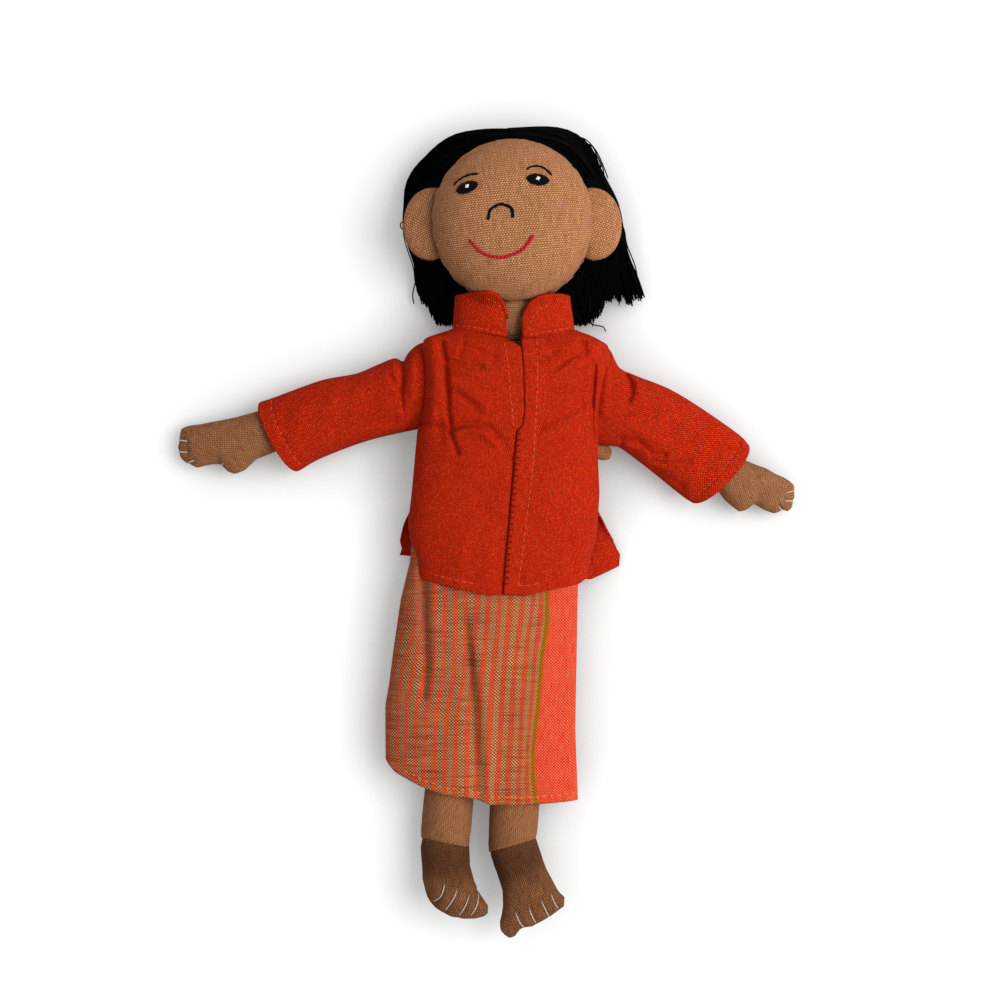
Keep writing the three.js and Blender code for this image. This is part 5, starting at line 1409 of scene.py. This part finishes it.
for name, sleeve in sleeves.items():
    side = sleeve["side"]
    t = np.linspace(0, 1, sleeve_rows)[:, None]
    upper, lower = (through(sleeve[edge], sleeve_rows)[:, None] for edge in ("upper", "lower"))
    c, s = (wave[None, :, None] for wave in power_wave(turns(sleeve_columns), 2.3))
    middle, half = middle_half(lower, upper)
    plan = middle + half * c
    across = upper - lower
    outward = unit(np.stack([across[..., 1], -across[..., 0]], -1) * side)
    plan = plan + outward * sleeve["cuff"] * s * (t[..., None] ** 2)
    half_z = rounded([[0, 11.6], [0.2, 11], [0.4, 9.8], [1, 8.4]], t, 0.1)
    z = armhole_z - 3.7 * t + half_z * s[..., 0]
    ring_y = sleeve["ring"][0] + sleeve["ring"][1] * c[..., 0]
    ring_z = armhole_z + 10.4 * s[..., 0]
    middle, half = middle_half(rounded(shirt_back, ring_y, 3), rounded(shirt_front, ring_y, 3))
    level_out = np.clip(1 - np.abs((ring_z - middle) / half) ** garment_power, 0, 1) ** (1 / garment_power)
    middle, half = middle_half(rounded(shirt_edge_left, ring_y, 3), rounded(shirt_edge_right, ring_y, 3))
    ring_x = middle + side * (half * level_out - 0.8)
    out = step_up(t, 0, 0.13)
    x = ring_x * (1 - out) + plan[..., 0] * out + side * 0.6 * bell(t - 0.06, 0.04)
    y = ring_y * (1 - out) + plan[..., 1] * out
    z = ring_z * (1 - out) + z * out
    raised = step_up(z, 10, 15) * step_up(t, 0.0, 0.03)
    hem_shape = 0.3 * step_up(t, 0.925, 0.94) - 0.35 * bell(t - 0.925, 0.008)
    z = z + raised * (1.4 * ridges(x, y, sleeve["folds"]) + 0.25 * ripple(x, y, 15, 41) + hem_shape)
    z = np.maximum(z, 0.3)
    sleeve_grid = np.stack([x, y, z], -1)
    sleeve_piece = sew("sleeve_cloth_" + name, sleeve_grid, shirt_finish, cloth=round_and_along(sleeve_grid))
    sheet(sleeve_piece, closed(sleeve_grid), shirt_thickness, "draped", ["arm_cloth_" + name])
    "arm_" + name
    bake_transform(sleeve_piece)
    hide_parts("sleeve_" + name)
    top_cloud = sleeve_grid[60:, 2:46].reshape(-1, 3)
    cuff_line = sleeve_grid[cuff_row, 4:44, :2]
    cuff_spots = backstitch(cuff_line, stitch_length, top_cloud, 0.04, stitch_space)
    cuff_piece = stitches("cuff_threads_" + name, cuff_spots, 0.15, shirt_seam_thread)
    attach(cuff_piece, "arm_" + name)

# The table: a wide pale surface under the doll, which isn't part of it. It is white where it is
# looked at, and keeps the doll's soft shadow cast by the lamp, with a painted shadow that darkens it
# close to the doll besides.
table_finish = Finish("pale_table", Roughness=0.9, Specular_IOR_Level=0.1)
table_finish.put(table_finish.shader.inputs["Base Color"], (0.8, 0.8, 0.8, 1))
table_mesh = bpy.data.meshes.new("table_top")
far = 3
table_mesh.from_pydata([(-far, -far, 0), (far, -far, 0), (far, far, 0), (-far, far, 0)], [], [(0, 1, 2, 3)])
table_top = bpy.data.objects.new("table_top", table_mesh)
scene.collection.objects.link(table_top)
table_mesh.materials.append(table_finish.material)
seen = table_finish.node("ShaderNodeLightPath")
ways = seen.socket.node.outputs
looked = Wire(table_finish, ways["Is Camera Ray"]).sum("MAXIMUM", Wire(table_finish, ways["Is Glossy Ray"]))
looked = looked.sum("MAXIMUM", Wire(table_finish, ways["Is Transmission Ray"]))
# Painted shadow: the table's colour and glow darken where the doll is near.
near = table_finish.node("ShaderNodeAmbientOcclusion", {"samples": 8}, {"Distance": 0.026}, 1)
painted_shadow_halo = table_finish.mix(near, (0.24, 0.24, 0.24, 1), (0.97, 0.97, 0.97, 1))
grey = table_finish.mix(1.0, painted_shadow_halo, (0.5, 0.5, 0.5, 1), "MULTIPLY")
shown = table_finish.node("ShaderNodeBsdfDiffuse", None, {"Color": grey})
glow = table_finish.node("ShaderNodeEmission", None, {"Color": painted_shadow_halo, "Strength": 0.57})
both = table_finish.node("ShaderNodeAddShader", None, {0: shown, 1: glow})
plain = Wire(table_finish, table_finish.shader.outputs[0])
mixed = table_finish.node("ShaderNodeMixShader", None, {0: looked, 1: plain, 2: both})
table_finish.put(table_finish.nodes["Material Output"].inputs["Surface"], mixed)
table_top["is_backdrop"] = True

# The light: one wide soft lamp, above and to the doll's left, and a dim even sky. What the camera
# and clear or shiny things look at is a white sky.
lamp = bpy.data.lights.new("soft_lamp", "AREA")
lamp.shape, lamp.size, lamp.energy = "DISK", 0.9, 15.0
lamp_holder = bpy.data.objects.new("soft_lamp", lamp)
lamp_holder.location = (0.66, 0.06, 0.96)
lamp_holder.rotation_mode = "QUATERNION"
lamp_holder.rotation_quaternion = lamp_holder.location.to_track_quat("Z", "Y")
scene.collection.objects.link(lamp_holder)
sky = bpy.data.worlds.new("even_sky")
sky.use_nodes = True
scene.world = sky
tree = sky.node_tree
dim = tree.nodes["Background"]
dim.inputs["Strength"].default_value = 0.36
bright = tree.nodes.new("ShaderNodeBackground")
path = tree.nodes.new("ShaderNodeLightPath")
pick = tree.nodes.new("ShaderNodeMixShader")
for node in (dim, bright):
    node.inputs["Color"].default_value = (1, 1, 1, 1)
either = path.outputs["Is Camera Ray"]
for ray in ("Is Glossy Ray", "Is Transmission Ray"):
    larger = tree.nodes.new("ShaderNodeMath")
    larger.operation = "MAXIMUM"
    tree.links.new(path.outputs[ray], larger.inputs[0])
    tree.links.new(either, larger.inputs[1])
    either = larger.outputs[0]
tree.links.new(either, pick.inputs[0])
tree.links.new(dim.outputs[0], pick.inputs[1])
tree.links.new(bright.outputs[0], pick.inputs[2])
tree.links.new(pick.outputs[0], tree.nodes["World Output"].inputs["Surface"])
scene.view_settings.view_transform = "Standard"

low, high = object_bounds()
